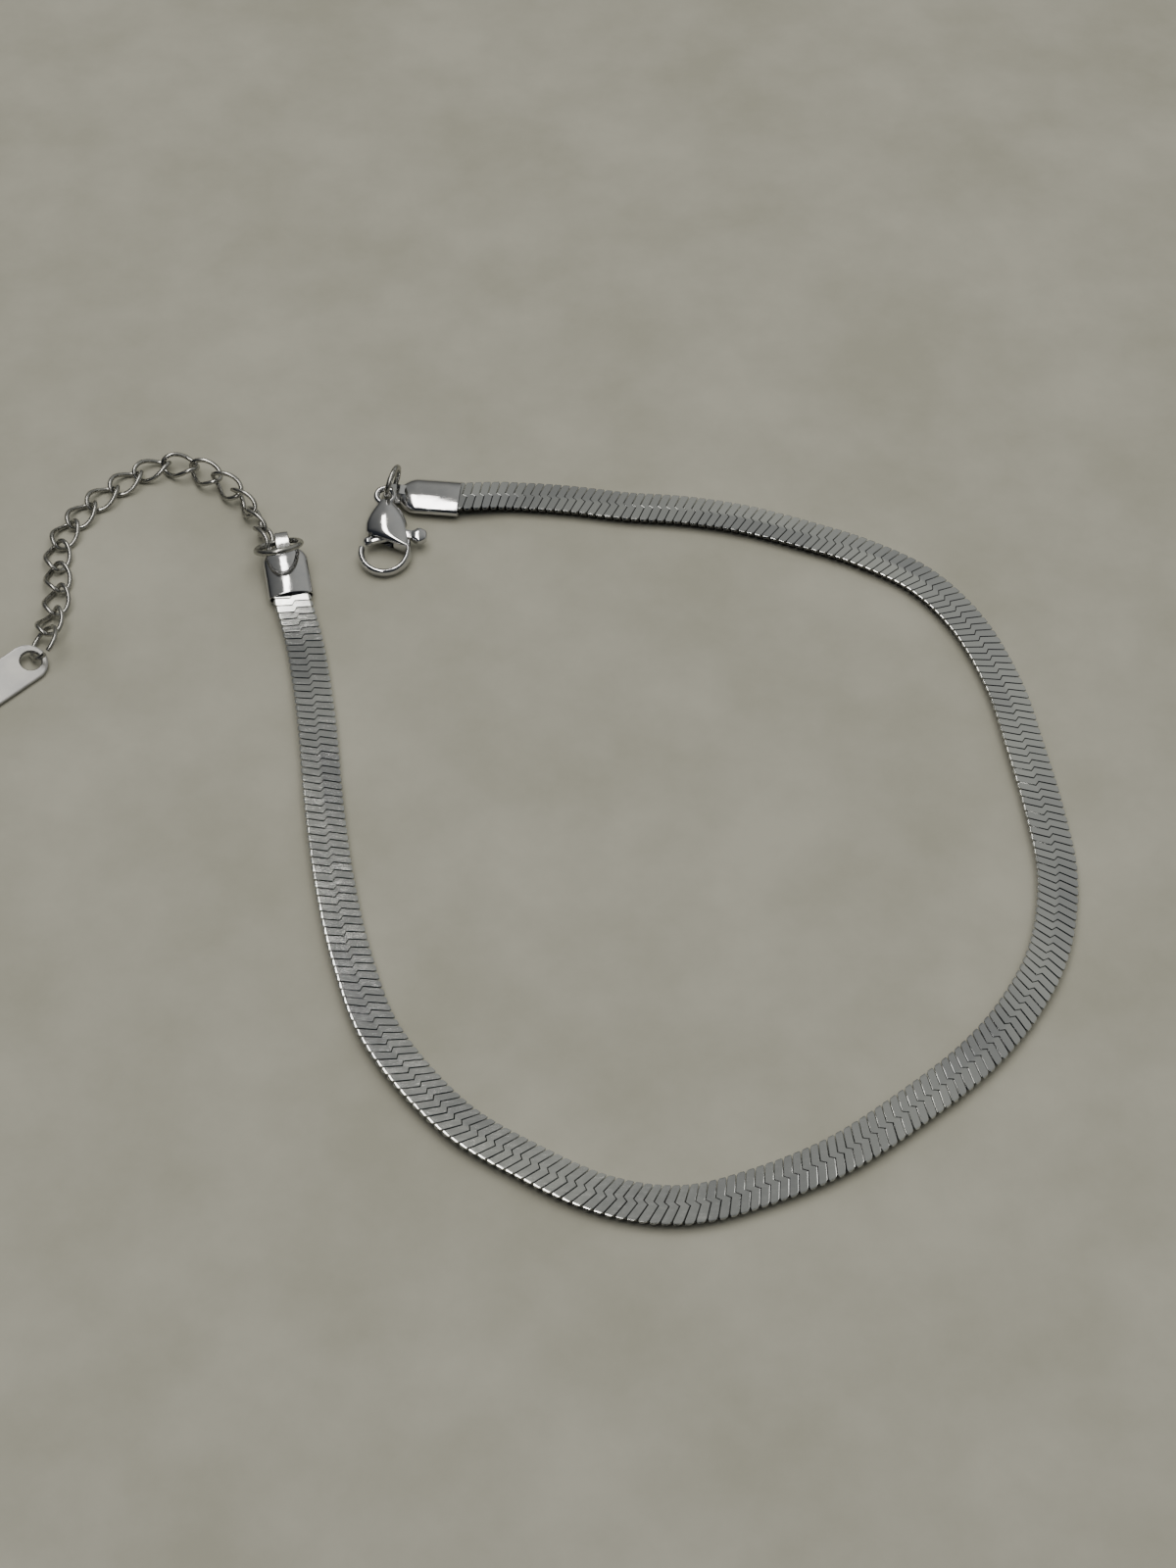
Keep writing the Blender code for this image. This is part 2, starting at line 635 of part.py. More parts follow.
def link_rolls(count):
    """Roll of each link about its length: flat but for those next to the rings, which stand up."""
    flat = count - len(EXTENDER_START_ROLLS) - len(EXTENDER_END_ROLLS)
    return [radians(roll) for roll in EXTENDER_START_ROLLS + (0.0,) * flat + EXTENDER_END_ROLLS]


def make_extender(on_ring, root):
    """Links from the jump ring on. Gives back the last link's end and its way there."""
    joints = extender_joints(on_ring)
    rolls = link_rolls(len(joints) - 1)
    for index in range(1, len(joints)):
        near = rolls[index - 1]
        far = rolls[min(index, len(rolls) - 1)]
        joints[index].z = max(link_rest_height(near), link_rest_height(far))
    joints[-1].z = TAG_RING_REST
    for number, (start, end, roll) in enumerate(zip(joints, joints[1:], rolls), start=1):
        rings = wire_rings(link_path(), EXTENDER_LINK_WIRE / 2, WIRE_SIDES)
        link = add_object("extender_link_%02d" % number, loft(rings, loop=True), PLATED, root)
        link.matrix_local = frame_from((start + end) / 2, end - start) @ Matrix.Rotation(roll, 4, "X")
    return joints[-1], (joints[-1] - joints[-2]).normalized()


# Tag

def tag_outline():
    """A bar with round ends, with its hole at the origin and its length along X."""
    radius = TAG_WIDTH / 2
    near = TAG_HOLE_TO_END - radius
    far = TAG_LENGTH - TAG_HOLE_TO_END - radius
    outline = [(far + radius * sin(pi * k / 8), -radius * cos(pi * k / 8)) for k in range(9)]
    outline += [(-near - radius * sin(pi * k / 8), radius * cos(pi * k / 8)) for k in range(9)]
    return outline


def make_tag(on_ring, root):
    """The tag hangs on the ring by the end of its hole and slopes down to the surface."""
    bearing = radians(TAG_BEARING)
    hole_centre = on_ring + TAG_PULL * Vector((cos(bearing), sin(bearing), 0.0))
    reach = TAG_LENGTH - TAG_HOLE_TO_END
    roll = radians(TAG_ROLL)
    edge_height = TAG_THICKNESS / 2 + TAG_WIDTH / 2 * abs(sin(roll))
    drop = asin((hole_centre.z - edge_height) / reach)
    along = Vector((cos(bearing) * cos(drop), sin(bearing) * cos(drop), -sin(drop)))
    outline = tag_outline()
    shrink = 1 - 2 * TAG_CHAMFER / TAG_WIDTH
    half = TAG_THICKNESS / 2
    centre_x = (TAG_LENGTH / 2 - TAG_HOLE_TO_END)

    def level(scale, height):
        return [Vector((centre_x + (x - centre_x) * scale, y * scale, height)) for x, y in outline]

    plate = loft([level(shrink, -half), level(1.0, -half + TAG_CHAMFER), level(1.0, half - TAG_CHAMFER),
                  level(shrink, half)])
    tag = add_object("end_tag", plate, PLATED, root)
    place = frame_from(hole_centre, along) @ Matrix.Rotation(roll, 4, "X")
    tag.matrix_local = place
    hole = add_tool("tag_hole", disc(Vector(), TAG_HOLE / 2, -TAG_THICKNESS, TAG_THICKNESS, 20), root)
    hole.matrix_local = place
    use_boolean(tag, hole, "DIFFERENCE")
    return tag


def settle_on_origin(root):
    """Move the whole anklet so that the origin is under its middle, on the surface."""
    bpy.context.view_layer.update()
    shapes = bpy.context.evaluated_depsgraph_get()
    corners = []
    for thing in bpy.data.objects:
        if thing.type == "MESH" and not thing.hide_render:
            solid = thing.evaluated_get(shapes)
            corners += [solid.matrix_world @ vertex.co for vertex in solid.data.vertices]
    low = Vector((min(c.x for c in corners), min(c.y for c in corners), min(c.z for c in corners)))
    high = Vector((max(c.x for c in corners), max(c.y for c in corners), max(c.z for c in corners)))
    root.location = Vector((-(low.x + high.x) / 2, -(low.y + high.y) / 2, -low.z))
    bpy.context.view_layer.update()


def place_ring(name, centre, first, second, diameter, wire, root):
    """A jump ring in the plane of two square directions."""
    ring = add_object(name, make_ring(diameter, wire), PLATED, root)
    turn = Matrix((first, second, first.cross(second))).transposed().to_4x4()
    ring.matrix_local = Matrix.Translation(centre) @ turn


def make_clasp_end(root):
    """Cap, jump ring and clasp. The ring stands in the strap loop and leans a little."""
    mouth, outward = chain_end(at_start=True)
    cap_place = frame_from(mouth, outward)
    make_cap("clasp_end_cap", cap_place, root)
    radius = (CLASP_RING_DIAMETER - CLASP_RING_WIRE) / 2
    bearing, lean = radians(CLASP_RING_BEARING), radians(CLASP_RING_LEAN)
    level = Vector((cos(bearing), sin(bearing), 0.0))
    rise = level.cross(UP) * sin(lean) + UP * cos(lean)
    centre = ring_seat(cap_place, CLASP_RING_WIRE) + rise * radius
    place_ring("clasp_jump_ring", centre, level, rise, CLASP_RING_DIAMETER, CLASP_RING_WIRE, root)
    climb = radians(CLASP_EYE_CLIMB)
    on_ring = centre - radius * (sin(climb) * level + cos(climb) * rise)
    aside, ahead = CLASP_EYE_OFFSET_MM
    clasp_place = clasp_frame(on_ring + Vector((aside, ahead, 0.0)) * MM)
    make_clasp(clasp_place, root)
    make_trigger(clasp_place, root)


def make_extender_end(root):
    """Cap, jump ring, links, tag ring and tag. The first ring leans back over the cap."""
    mouth, outward = chain_end(at_start=False)
    cap_place = frame_from(mouth, outward)
    make_cap("extender_end_cap", cap_place, root)
    radius = (EXTENDER_RING_DIAMETER - EXTENDER_RING_WIRE) / 2
    lean = radians(EXTENDER_RING_LEAN)
    across = Matrix.Rotation(radians(EXTENDER_RING_SWING), 3, "Z") @ outward.cross(UP).normalized()
    rise = UP * cos(lean) - UP.cross(across) * sin(lean)
    shift = radians(EXTENDER_RING_SHIFT)
    centre = ring_seat(cap_place, EXTENDER_RING_WIRE) + radius * (rise * cos(shift) - across * sin(shift))
    place_ring("extender_jump_ring", centre, across, rise, EXTENDER_RING_DIAMETER, EXTENDER_RING_WIRE, root)
    climb = radians(EXTENDER_RING_CLIMB)
    end, heading = make_extender(centre - radius * (sin(climb) * across + cos(climb) * rise), root)
    make_tag_ring_and_tag(end - heading * (TAG_RING_WIRE + EXTENDER_LINK_PLAY) / 2, root)


def make_tag_ring_and_tag(in_link, root):
    """The ring leans on the surface with its wire through the last link and the tag's hole."""
    radius = (TAG_RING_DIAMETER - TAG_RING_WIRE) / 2
    bearing = radians(TAG_RING_BEARING)
    ahead = Vector((cos(bearing), sin(bearing), 0.0))
    lean = acos((in_link.z - TAG_RING_WIRE / 2) / radius)
    rise = UP * cos(lean) + UP.cross(ahead) * sin(lean)
    centre = in_link + ahead * radius
    place_ring("tag_jump_ring", centre, ahead, rise, TAG_RING_DIAMETER, TAG_RING_WIRE, root)
    climb = radians(TAG_RING_CLIMB)
    make_tag(centre + radius * (ahead * cos(climb) - rise * sin(climb)), root)


def build():
    clear_scene()
    root = bpy.data.objects.new("anklet", None)
    bpy.context.scene.collection.objects.link(root)
    make_chain(root)
    make_clasp_end(root)
    make_extender_end(root)
    settle_on_origin(root)


build()
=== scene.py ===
"""The chain anklet as it looks: flat herringbone chain, end caps, lobster clasp, extender and tag."""

import json
from math import copysign, cos, pi, radians, sin, sqrt, tan

import bmesh
import bpy
import numpy as np
from mathutils import Matrix, Vector


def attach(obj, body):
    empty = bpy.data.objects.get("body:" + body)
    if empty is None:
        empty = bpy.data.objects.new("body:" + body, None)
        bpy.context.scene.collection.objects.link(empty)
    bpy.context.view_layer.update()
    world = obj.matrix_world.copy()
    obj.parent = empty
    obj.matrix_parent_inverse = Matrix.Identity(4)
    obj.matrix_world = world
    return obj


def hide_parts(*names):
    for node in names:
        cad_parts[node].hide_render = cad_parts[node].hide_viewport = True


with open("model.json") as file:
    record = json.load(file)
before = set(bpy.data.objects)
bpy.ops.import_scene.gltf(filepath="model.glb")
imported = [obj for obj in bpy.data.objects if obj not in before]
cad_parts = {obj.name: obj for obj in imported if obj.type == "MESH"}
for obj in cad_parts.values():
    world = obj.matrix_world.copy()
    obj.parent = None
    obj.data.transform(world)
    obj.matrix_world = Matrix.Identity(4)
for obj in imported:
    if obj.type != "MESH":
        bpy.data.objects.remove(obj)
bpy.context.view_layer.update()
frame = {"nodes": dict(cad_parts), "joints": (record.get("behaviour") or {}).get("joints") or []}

MM = 0.001
UP = Vector((0.0, 0.0, 1.0))

# Where the middle of the open loop lies in the part's own frame
LOOP_MIDDLE_MM = (8.963, 2.373)

# Chain, as in the part's source
CHAIN_ROUTE_MM = [
    (-16.8, 38.35), (-13.8, 38.05), (-8.5, 38.5), (-2.1, 38.0), (4.2, 37.0), (10.5, 36.4),
    (16.8, 35.1), (23.0, 32.9), (29.2, 30.2), (35.1, 26.2), (39.5, 20.0), (42.3, 12.1),
    (43.6, 4.4), (44.7, -4.0), (45.1, -12.0), (43.5, -20.1), (40.2, -26.5), (35.8, -31.9),
    (30.1, -36.8), (22.7, -42.1), (15.6, -45.4), (8.6, -47.3), (1.7, -46.4), (-5.2, -43.1),
    (-12.3, -38.3), (-18.9, -30.0), (-22.2, -21.4), (-24.4, -12.4), (-26.0, -2.9),
    (-27.3, 7.0), (-29.1, 17.0), (-31.0, 23.8), (-31.6, 26.8),
]
BAND_WIDTH = 4.0 * MM
BAND_THICKNESS = 1.2 * MM
LINK_PITCH = 0.92 * MM
LINK_STEP = 0.58 * MM
STEP_WIDTH = 0.38 * MM
SEAM_GAP = 0.06 * MM
PLATE_EDGE = 0.05 * MM
# Length of the painted reflection's lighter and darker stretches along the chain
REFLECTION_STRETCH_LENGTH = 22.0 * MM
MOST_SLANT = 0.7
MOST_ROLL = 10.0
PLATE_TIP = 0.5
PLATE_SEED = 7
PLATE_UNDERSIDE_LIFT = 0.05 * MM
TAIL_LENGTH = 3.0 * MM
RISE_LENGTH = 7.0 * MM

# Slant of the plates, in mm along for each mm across, at shares of the chain's length
PLATE_SLANT = [
    (0.0, 0.30), (0.16, 0.30), (0.31, 0.38), (0.42, 0.46), (0.54, 0.48), (0.63, 0.43),
    (0.74, 0.58), (0.81, 0.30), (0.88, 0.30), (0.94, 0.22), (1.0, 0.20),
]
# Roll of the band about its own length, in degrees, the left edge up where it is positive
BAND_ROLL = [
    (0.0, 0.0), (0.05, -0.8), (0.10, 0.5), (0.2, -0.5), (0.32, 0.3), (0.42, 1.3), (0.50, 0.8),
    (0.56, 1.0), (0.61, 0.5), (0.66, 2.2), (0.72, 3.0), (0.80, 2.8), (0.88, 2.2), (0.93, 1.6),
    (0.97, 0.0), (1.0, 0.0),
]

# Ends of a plate, from the tip inwards, as shares: place across, width and height there, then the
# place across and the height of the undercut lower edge
PLATE_ENDS = (
    (1.0, 0.25, 0.70, 0.79, -0.35), (0.96, 0.70, 0.93, 0.745, -0.85),
    (0.91, 0.89, 1.0, 0.71, -0.98), (0.82, 1.0, 1.0, 0.67, -1.0),
)

# End caps
CAP_WIDTH = 4.75 * MM
CAP_HEIGHT = 2.0 * MM
CAP_WALL = 0.22 * MM
CAP_LENGTH = 6.4 * MM
CAP_SHOULDER = 1.8 * MM
CAP_FLOOR = 0.8 * MM
CAP_ROUNDNESS_INSIDE = 2.6
CAP_ROUNDNESS = 2.15
CAP_PITCH_AT_EXTENDER = 6.0
STRAP_WIDTH = 1.5 * MM
STRAP_THICKNESS = 0.32 * MM
STRAP_HEIGHT = 1.917 * MM
STRAP_LENGTH = 2.1 * MM

# Wires
CLASP_RING = {"diameter": 4.3 * MM, "wire": 0.6 * MM}
EXTENDER_RING = {"diameter": 5.4 * MM, "wire": 0.65 * MM}
TAG_RING = {"diameter": 4.3 * MM, "wire": 0.5 * MM}
LINK_LENGTH = 4.65 * MM
LINK_WIDTH = 3.2 * MM
LINK_SOLID_WIRE = 0.6 * MM
LINK_WIRE = 0.5 * MM
LINK_TWIST = -45.0

# Clasp
CLASP_LENGTH = 11.2 * MM
CLASP_WIDTH = 5.7 * MM
CLASP_THICKNESS = 2.2 * MM
CLASP_EYE_DIAMETER = 2.5 * MM
CLASP_EYE_WIRE = 0.65 * MM
HOOK_WIDTH = 0.85 * MM
HOOK_WIRE = 0.70 * MM
HOOK_THICKNESS = 1.05 * MM
HOOK_FIRST_ANGLE = 6.0
HOOK_LAST_ANGLE = -192.0
TRIGGER_THICKNESS = 0.7 * MM
TRIGGER_WIDTH = 1.1 * MM
THUMB_DIAMETER = 1.8 * MM
SLOT_GAP = 0.18 * MM
SPARE_GAP = 0.3 * MM
PIVOT_ACROSS = 0.50
PIVOT_DOWN = 0.430
CLASP_SECTIONS = [
    {"left": -0.22, "left_down": 0.060, "right": 0.24, "right_down": 0.060, "thick": 0.42},
    {"left": -0.36, "left_down": 0.115, "right": 0.42, "right_down": 0.115, "thick": 0.62},
    {"left": -0.54, "left_down": 0.190, "right": 0.62, "right_down": 0.190, "thick": 0.84},
    {"left": -0.69, "left_down": 0.280, "right": 0.78, "right_down": 0.280, "thick": 0.98},
    {"left": -0.73, "left_down": 0.375, "right": 0.89, "right_down": 0.400, "thick": 1.00},
    {"left": -0.60, "left_down": 0.455, "right": 0.97, "right_down": 0.505, "thick": 0.94},
    {"left": 0.30, "left_down": 0.565, "right": 0.99, "right_down": 0.570, "thick": 0.84},
]

# Tag
TAG_LENGTH = 12.0 * MM
TAG_WIDTH = 4.2 * MM
TAG_THICKNESS = 0.5 * MM
TAG_HOLE = 2.2 * MM
TAG_HOLE_TO_END = 1.7 * MM
TAG_CHAMFER = 0.12 * MM
TAG_HOLE_EDGE = 0.1 * MM

# Room
FLOOR_REACH = 6.0
FLOOR_DROP = 0.01 * MM
FLOOR_CLOUD = 18.0 * MM
LONG_LAMP = {"middle": (-0.115, -0.05, 0.6), "aim": (-0.115, -0.05, 0.0), "size": (0.10, 0.90), "power": 3.7,
             "colour": "#fffaf0", "lights_matt": False, "lights_bright": True}
SOFT_BOX = {"middle": (0.0, 0.08, 0.8), "aim": (0.0, 0.0, 0.0), "size": (0.8, 0.8), "power": 3.8,
            "colour": "#fffaf2", "lights_matt": True, "lights_bright": False}

# Camera, as fitted to the photo from the even pitch of the plates
CAMERA_BACK = 154.7 * MM
CAMERA_UP = 201.3 * MM
CAMERA_TILT = 37.55
CAMERA_LENS = 58.73

# Sockets of a Mix node set to colours, whose names it shares with its other kinds
FIRST_COLOUR, SECOND_COLOUR, MIXED_COLOUR = 6, 7, 2


# Small helpers

def linear(hex_colour, alpha=1.0):
    """A colour written as sRGB hex, as linear numbers."""
    parts = [int(hex_colour[k:k + 2], 16) / 255 for k in (1, 3, 5)]
    return tuple(p / 12.92 if p <= 0.04045 else ((p + 0.055) / 1.055) ** 2.4 for p in parts) + (alpha,)


def add_node(tree, kind, inputs=None, **settings):
    """A node with its settings. Each input is a value, or a node or a socket to link from."""
    node = tree.nodes.new(kind)
    for name, value in settings.items():
        setattr(node, name, value)
    for key, value in (inputs or {}).items():
        if isinstance(value, bpy.types.Node):
            value = value.outputs[0]
        if isinstance(value, bpy.types.NodeSocket):
            tree.links.new(value, node.inputs[key])
        else:
            node.inputs[key].default_value = value
    return node


def blank_material(name):
    material = bpy.data.materials.new(name)
    material.use_nodes = True
    return material, material.node_tree, material.node_tree.nodes["Principled BSDF"]


def scratches(tree, place, turn, length, width, sparse):
    """Fine straight scratches one way: long thin noise, turned about the up axis."""
    laid = add_node(tree, "ShaderNodeMapping", {
        "Vector": place, "Rotation": (0.0, 0.0, radians(turn)), "Scale": (1 / length, 1 / width, 1 / width)})
    streaks = add_node(tree, "ShaderNodeTexNoise", {"Vector": laid, "Scale": 1.0, "Detail": 2.0})
    return add_node(tree, "ShaderNodeMapRange", {
        "Value": streaks, "From Min": sparse, "From Max": sparse + 0.12})


def patches(tree, place, size, low, high, detail=3.0):
    """Soft uneven patches of a real size, between two values."""
    noise = add_node(tree, "ShaderNodeTexNoise", {"Vector": place, "Scale": 1 / size, "Detail": detail})
    return add_node(tree, "ShaderNodeMapRange", {
        "Value": noise, "From Min": 0.3, "From Max": 0.7, "To Min": low, "To Max": high})


def worn_edges(tree):
    """Where an outside edge has been rubbed bright."""
    bend = add_node(tree, "ShaderNodeNewGeometry").outputs["Pointiness"]
    return add_node(tree, "ShaderNodeMapRange", {"Value": bend, "From Min": 0.53, "From Max": 0.62})


def bare_metal(tree, shader, colour, rough, height, depth, strength):
    """Joins a metal's colour, roughness and the height of its marks to its shader."""
    bump = add_node(tree, "ShaderNodeBump", {"Height": height, "Distance": depth, "Strength": strength})
    tree.links.new(colour.outputs[MIXED_COLOUR], shader.inputs["Base Color"])
    tree.links.new(rough.outputs[0], shader.inputs["Roughness"])
    tree.links.new(bump.outputs["Normal"], shader.inputs["Normal"])
    shader.inputs["Metallic"].default_value = 1.0


# Materials

def pressed_plate_steel():
    """Stainless steel plates, pressed flat and worn: satin faces with fine rubbing marks, some stretches a
    little bluer and darker as a painted reflection, polished on their rims, darker down the side walls
    towards their bottom."""
    material, tree, shader = blank_material("pressed_plate_steel")
    place = add_node(tree, "ShaderNodeTexCoord").outputs["Object"]
    # Painted reflection: lighter and darker stretches along the chain, mixed into the face colour below
    tone = add_node(tree, "ShaderNodeAttribute", attribute_name="plate_tone").outputs["Fac"]
    luck = add_node(tree, "ShaderNodeAttribute", attribute_name="plate_luck").outputs["Fac"]
    rim = add_node(tree, "ShaderNodeAttribute", attribute_name="plate_wall_darkening").outputs["Fac"]
    own = add_node(tree, "ShaderNodeMath", {0: luck, 1: 0.22, 2: -0.11}, operation="MULTIPLY_ADD")
    share = add_node(tree, "ShaderNodeMath", {0: tone, 1: own}, operation="ADD")
    face = add_node(tree, "ShaderNodeMix", {
        "Factor": share, FIRST_COLOUR: linear("#a6a8ab"), SECOND_COLOUR: linear("#cbcdcb")}, data_type="RGBA")
    # Darker down the side walls towards their bottom, in the seams between the plates; the rounded tips are
    # left out
    walls_darkened = add_node(tree, "ShaderNodeMix", {
        "Factor": rim, FIRST_COLOUR: face.outputs[MIXED_COLOUR], SECOND_COLOUR: linear("#6a6866")},
        data_type="RGBA")
    # Real rubbing marks are about 0.01 mm wide. These are about ten times coarser, so that they show.
    lengthwise = scratches(tree, place, 20.0, 1.6 * MM, 0.12 * MM, 0.56)
    crosswise = scratches(tree, place, 115.0, 1.2 * MM, 0.10 * MM, 0.60)
    marks = add_node(tree, "ShaderNodeMath", {0: lengthwise, 1: crosswise}, operation="ADD")
    dull = patches(tree, place, 0.5 * MM, 0.09, 0.14)
    rough = add_node(tree, "ShaderNodeMath", {0: marks, 1: 0.05, 2: dull}, operation="MULTIPLY_ADD")
    bare_metal(tree, shader, walls_darkened, rough, marks, 0.0008 * MM, 0.5)
    return material


def tumbled_bright_steel():
    """Stainless steel, cast or drawn to a cup and polished in a tumbler: mirror-like, with soft
    unevenness about a millimetre wide and a few hairline marks from wear."""
    material, tree, shader = blank_material("tumbled_bright_steel")
    place = add_node(tree, "ShaderNodeTexCoord").outputs["Object"]
    tint = add_node(tree, "ShaderNodeMix", {
        "Factor": patches(tree, place, 1.4 * MM, 0.0, 1.0), FIRST_COLOUR: linear("#bebfc4"),
        SECOND_COLOUR: linear("#c8c8ca")}, data_type="RGBA")
    rubbed = add_node(tree, "ShaderNodeMix", {
        "Factor": worn_edges(tree), FIRST_COLOUR: tint.outputs[MIXED_COLOUR],
        SECOND_COLOUR: linear("#d4d4d4")}, data_type="RGBA")
    # A real hairline is about 0.01 mm wide. These are about ten times coarser, so that they show.
    marks = scratches(tree, place, 35.0, 2.5 * MM, 0.10 * MM, 0.62)
    dull = patches(tree, place, 0.8 * MM, 0.07, 0.12)
    rough = add_node(tree, "ShaderNodeMath", {0: marks, 1: 0.05, 2: dull}, operation="MULTIPLY_ADD")
    uneven = patches(tree, place, 1.1 * MM, 0.0, 1.0, 1.0)
    height = add_node(tree, "ShaderNodeMath", {0: marks, 1: 0.15, 2: uneven}, operation="MULTIPLY_ADD")
    bare_metal(tree, shader, rubbed, rough, height, 0.006 * MM, 0.7)
    return material


def drawn_wire_steel():
    """Stainless steel wire, drawn through a die and tumbled: bright, with faint dents where links
    rub and slightly dull patches."""
    material, tree, shader = blank_material("drawn_wire_steel")
    place = add_node(tree, "ShaderNodeTexCoord").outputs["Object"]
    tint = add_node(tree, "ShaderNodeMix", {
        "Factor": patches(tree, place, 0.9 * MM, 0.0, 1.0), FIRST_COLOUR: linear("#9d9d9b"),
        SECOND_COLOUR: linear("#adadaa")}, data_type="RGBA")
    dull = patches(tree, place, 0.6 * MM, 0.18, 0.34)
    dents = patches(tree, place, 0.45 * MM, 0.0, 1.0)
    bare_metal(tree, shader, tint, dull, dents, 0.004 * MM, 0.6)
    return material


def stamped_tag_steel():
    """Stainless steel sheet, stamped out and barrel-finished: satin face brushed along its length,
    brighter on the rounded rim."""
    material, tree, shader = blank_material("stamped_tag_steel")
    place = add_node(tree, "ShaderNodeTexCoord").outputs["Object"]
    tint = add_node(tree, "ShaderNodeMix", {
        "Factor": patches(tree, place, 2.0 * MM, 0.0, 1.0), FIRST_COLOUR: linear("#9a9b9d"),
        SECOND_COLOUR: linear("#a9a9a8")}, data_type="RGBA")
    rubbed = add_node(tree, "ShaderNodeMix", {
        "Factor": worn_edges(tree), FIRST_COLOUR: tint.outputs[MIXED_COLOUR],
        SECOND_COLOUR: linear("#cfcfce")}, data_type="RGBA")
    # Real brush grain is about 0.02 mm wide. This is about three times coarser, so that it shows.
    grain = scratches(tree, place, -45.0, 3.0 * MM, 0.07 * MM, 0.48)
    dull = patches(tree, place, 0.9 * MM, 0.34, 0.4)
    rough = add_node(tree, "ShaderNodeMath", {0: grain, 1: 0.08, 2: dull}, operation="MULTIPLY_ADD")
    bare_metal(tree, shader, rubbed, rough, grain, 0.002 * MM, 0.6)
    return material


def plain_floor():
    """A matt pale stone-coloured board with faint soft clouds."""
    material, tree, shader = blank_material("plain_floor")
    place = add_node(tree, "ShaderNodeTexCoord").outputs["Object"]
    cloud = add_node(tree, "ShaderNodeTexNoise", {
        "Vector": place, "Scale": 1 / FLOOR_CLOUD, "Detail": 7.0, "Roughness": 0.62})
    share = add_node(tree, "ShaderNodeMapRange", {"Value": cloud, "From Min": 0.35, "From Max": 0.65})
    tint = add_node(tree, "ShaderNodeMix", {
        "Factor": share, FIRST_COLOUR: linear("#b6b5a6"), SECOND_COLOUR: linear("#c7c6b8")}, data_type="RGBA")
    tree.links.new(tint.outputs[MIXED_COLOUR], shader.inputs["Base Color"])
    shader.inputs["Roughness"].default_value = 0.8
    return material


# Shapes

def as_object(name, bm, material, sharp=40.0):
    mesh = bpy.data.meshes.new(name)
    bm.to_mesh(mesh)
    bm.free()
    mesh.shade_smooth()
    if sharp:
        mesh.set_sharp_from_angle(angle=radians(sharp))
    mesh.materials.append(material)
    thing = bpy.data.objects.new(name, mesh)
    bpy.context.scene.collection.objects.link(thing)
    return thing


def loft(rings, loop=False, close_ends=True):
    """A skin over rings that all hold the same number of points, with its faces outwards."""
    bm = bmesh.new()
    rows = [[bm.verts.new(point) for point in ring] for ring in rings]
    pairs = list(zip(rows, rows[1:])) + ([(rows[-1], rows[0])] if loop else [])
    for first, second in pairs:
        for index in range(len(first)):
            following = (index + 1) % len(first)
            bm.faces.new((first[index], first[following], second[following], second[index]))
    if close_ends and not loop:
        bm.faces.new(rows[0])
        bm.faces.new(list(reversed(rows[-1])))
    bmesh.ops.recalc_face_normals(bm, faces=bm.faces)
    return bm


def flatten(name, thing, material=None):
    """The thing with its modifiers applied, as a plain mesh object at the origin."""
    shapes = bpy.context.evaluated_depsgraph_get()
    solid = thing.evaluated_get(shapes)
    mesh = bpy.data.meshes.new_from_object(solid, depsgraph=shapes)
    mesh.transform(thing.matrix_world)
    bpy.data.objects.remove(thing, do_unlink=True)
    mesh.name = name
    if material:
        mesh.materials.clear()
        mesh.materials.append(material)
    result = bpy.data.objects.new(name, mesh)
    bpy.context.scene.collection.objects.link(result)
    return result


def take_in(bm, part):
    """Adds another shape's faces to this one, and frees it."""
    mesh = bpy.data.meshes.new("part")
    part.to_mesh(mesh)
    part.free()
    bm.from_mesh(mesh)
    bpy.data.meshes.remove(mesh)


def combine(name, rough, tools, finish):
    """A rough shape with each tool joined to it or cut from it. The tools are removed."""
    for tool, operation in tools:
        step = rough.modifiers.new(tool.name, "BOOLEAN")
        step.operation = operation
        step.solver = "EXACT"
        step.object = tool
    bpy.context.view_layer.update()
    result = flatten(name, rough, finish)
    for tool, _ in tools:
        bpy.data.objects.remove(tool, do_unlink=True)
    return result


def circle(radius, steps, middle=(0.0, 0.0, 0.0)):
    turns = [2 * pi * k / steps for k in range(steps)]
    return [Vector(middle) + Vector((radius * cos(a), radius * sin(a), 0.0)) for a in turns]


def on_oval(angle, roundness):
    """How far across and up a point of a soft oval lies, from -1 to 1. Roundness 2 is an ellipse."""
    across, up, power = cos(angle), sin(angle), 2 / roundness
    return copysign(abs(across) ** power, across), copysign(abs(up) ** power, up)


def smooth(points, steps):
    """Points, or rows of numbers, made denser on a smooth curve through them."""
    padded = [2 * points[0] - points[1]] + points + [2 * points[-1] - points[-2]]
    dense = []
    for before, start, end, after in zip(padded, padded[1:], padded[2:], padded[3:]):
        for step in range(steps):
            t = step / steps
            dense.append(start * (2 * t ** 3 - 3 * t ** 2 + 1) + end * (3 * t ** 2 - 2 * t ** 3)
                         + 0.5 * (end - before) * (t ** 3 - 2 * t ** 2 + t)
                         + 0.5 * (after - start) * (t ** 3 - t ** 2))
    dense.append(points[-1])
    return dense


def tube_sections(points, radius, sides, closed):
    """Round sections square to a path, kept from twisting."""
    count = len(points)
    tangents = []
    for index in range(count):
        if closed:
            ahead, behind = points[(index + 1) % count], points[index - 1]
        else:
            ahead, behind = points[min(index + 1, count - 1)], points[max(index - 1, 0)]
        tangents.append((ahead - behind).normalized())
    side = tangents[0].orthogonal().normalized()
    rings = []
    for index, (point, tangent) in enumerate(zip(points, tangents)):
        side = (side - tangent * side.dot(tangent)).normalized()
        rise = tangent.cross(side)
        r = radius(index / (count - 1)) if callable(radius) else radius
        rings.append([point + r * (side * cos(2 * pi * k / sides) + rise * sin(2 * pi * k / sides))
                      for k in range(sides)])
    return rings


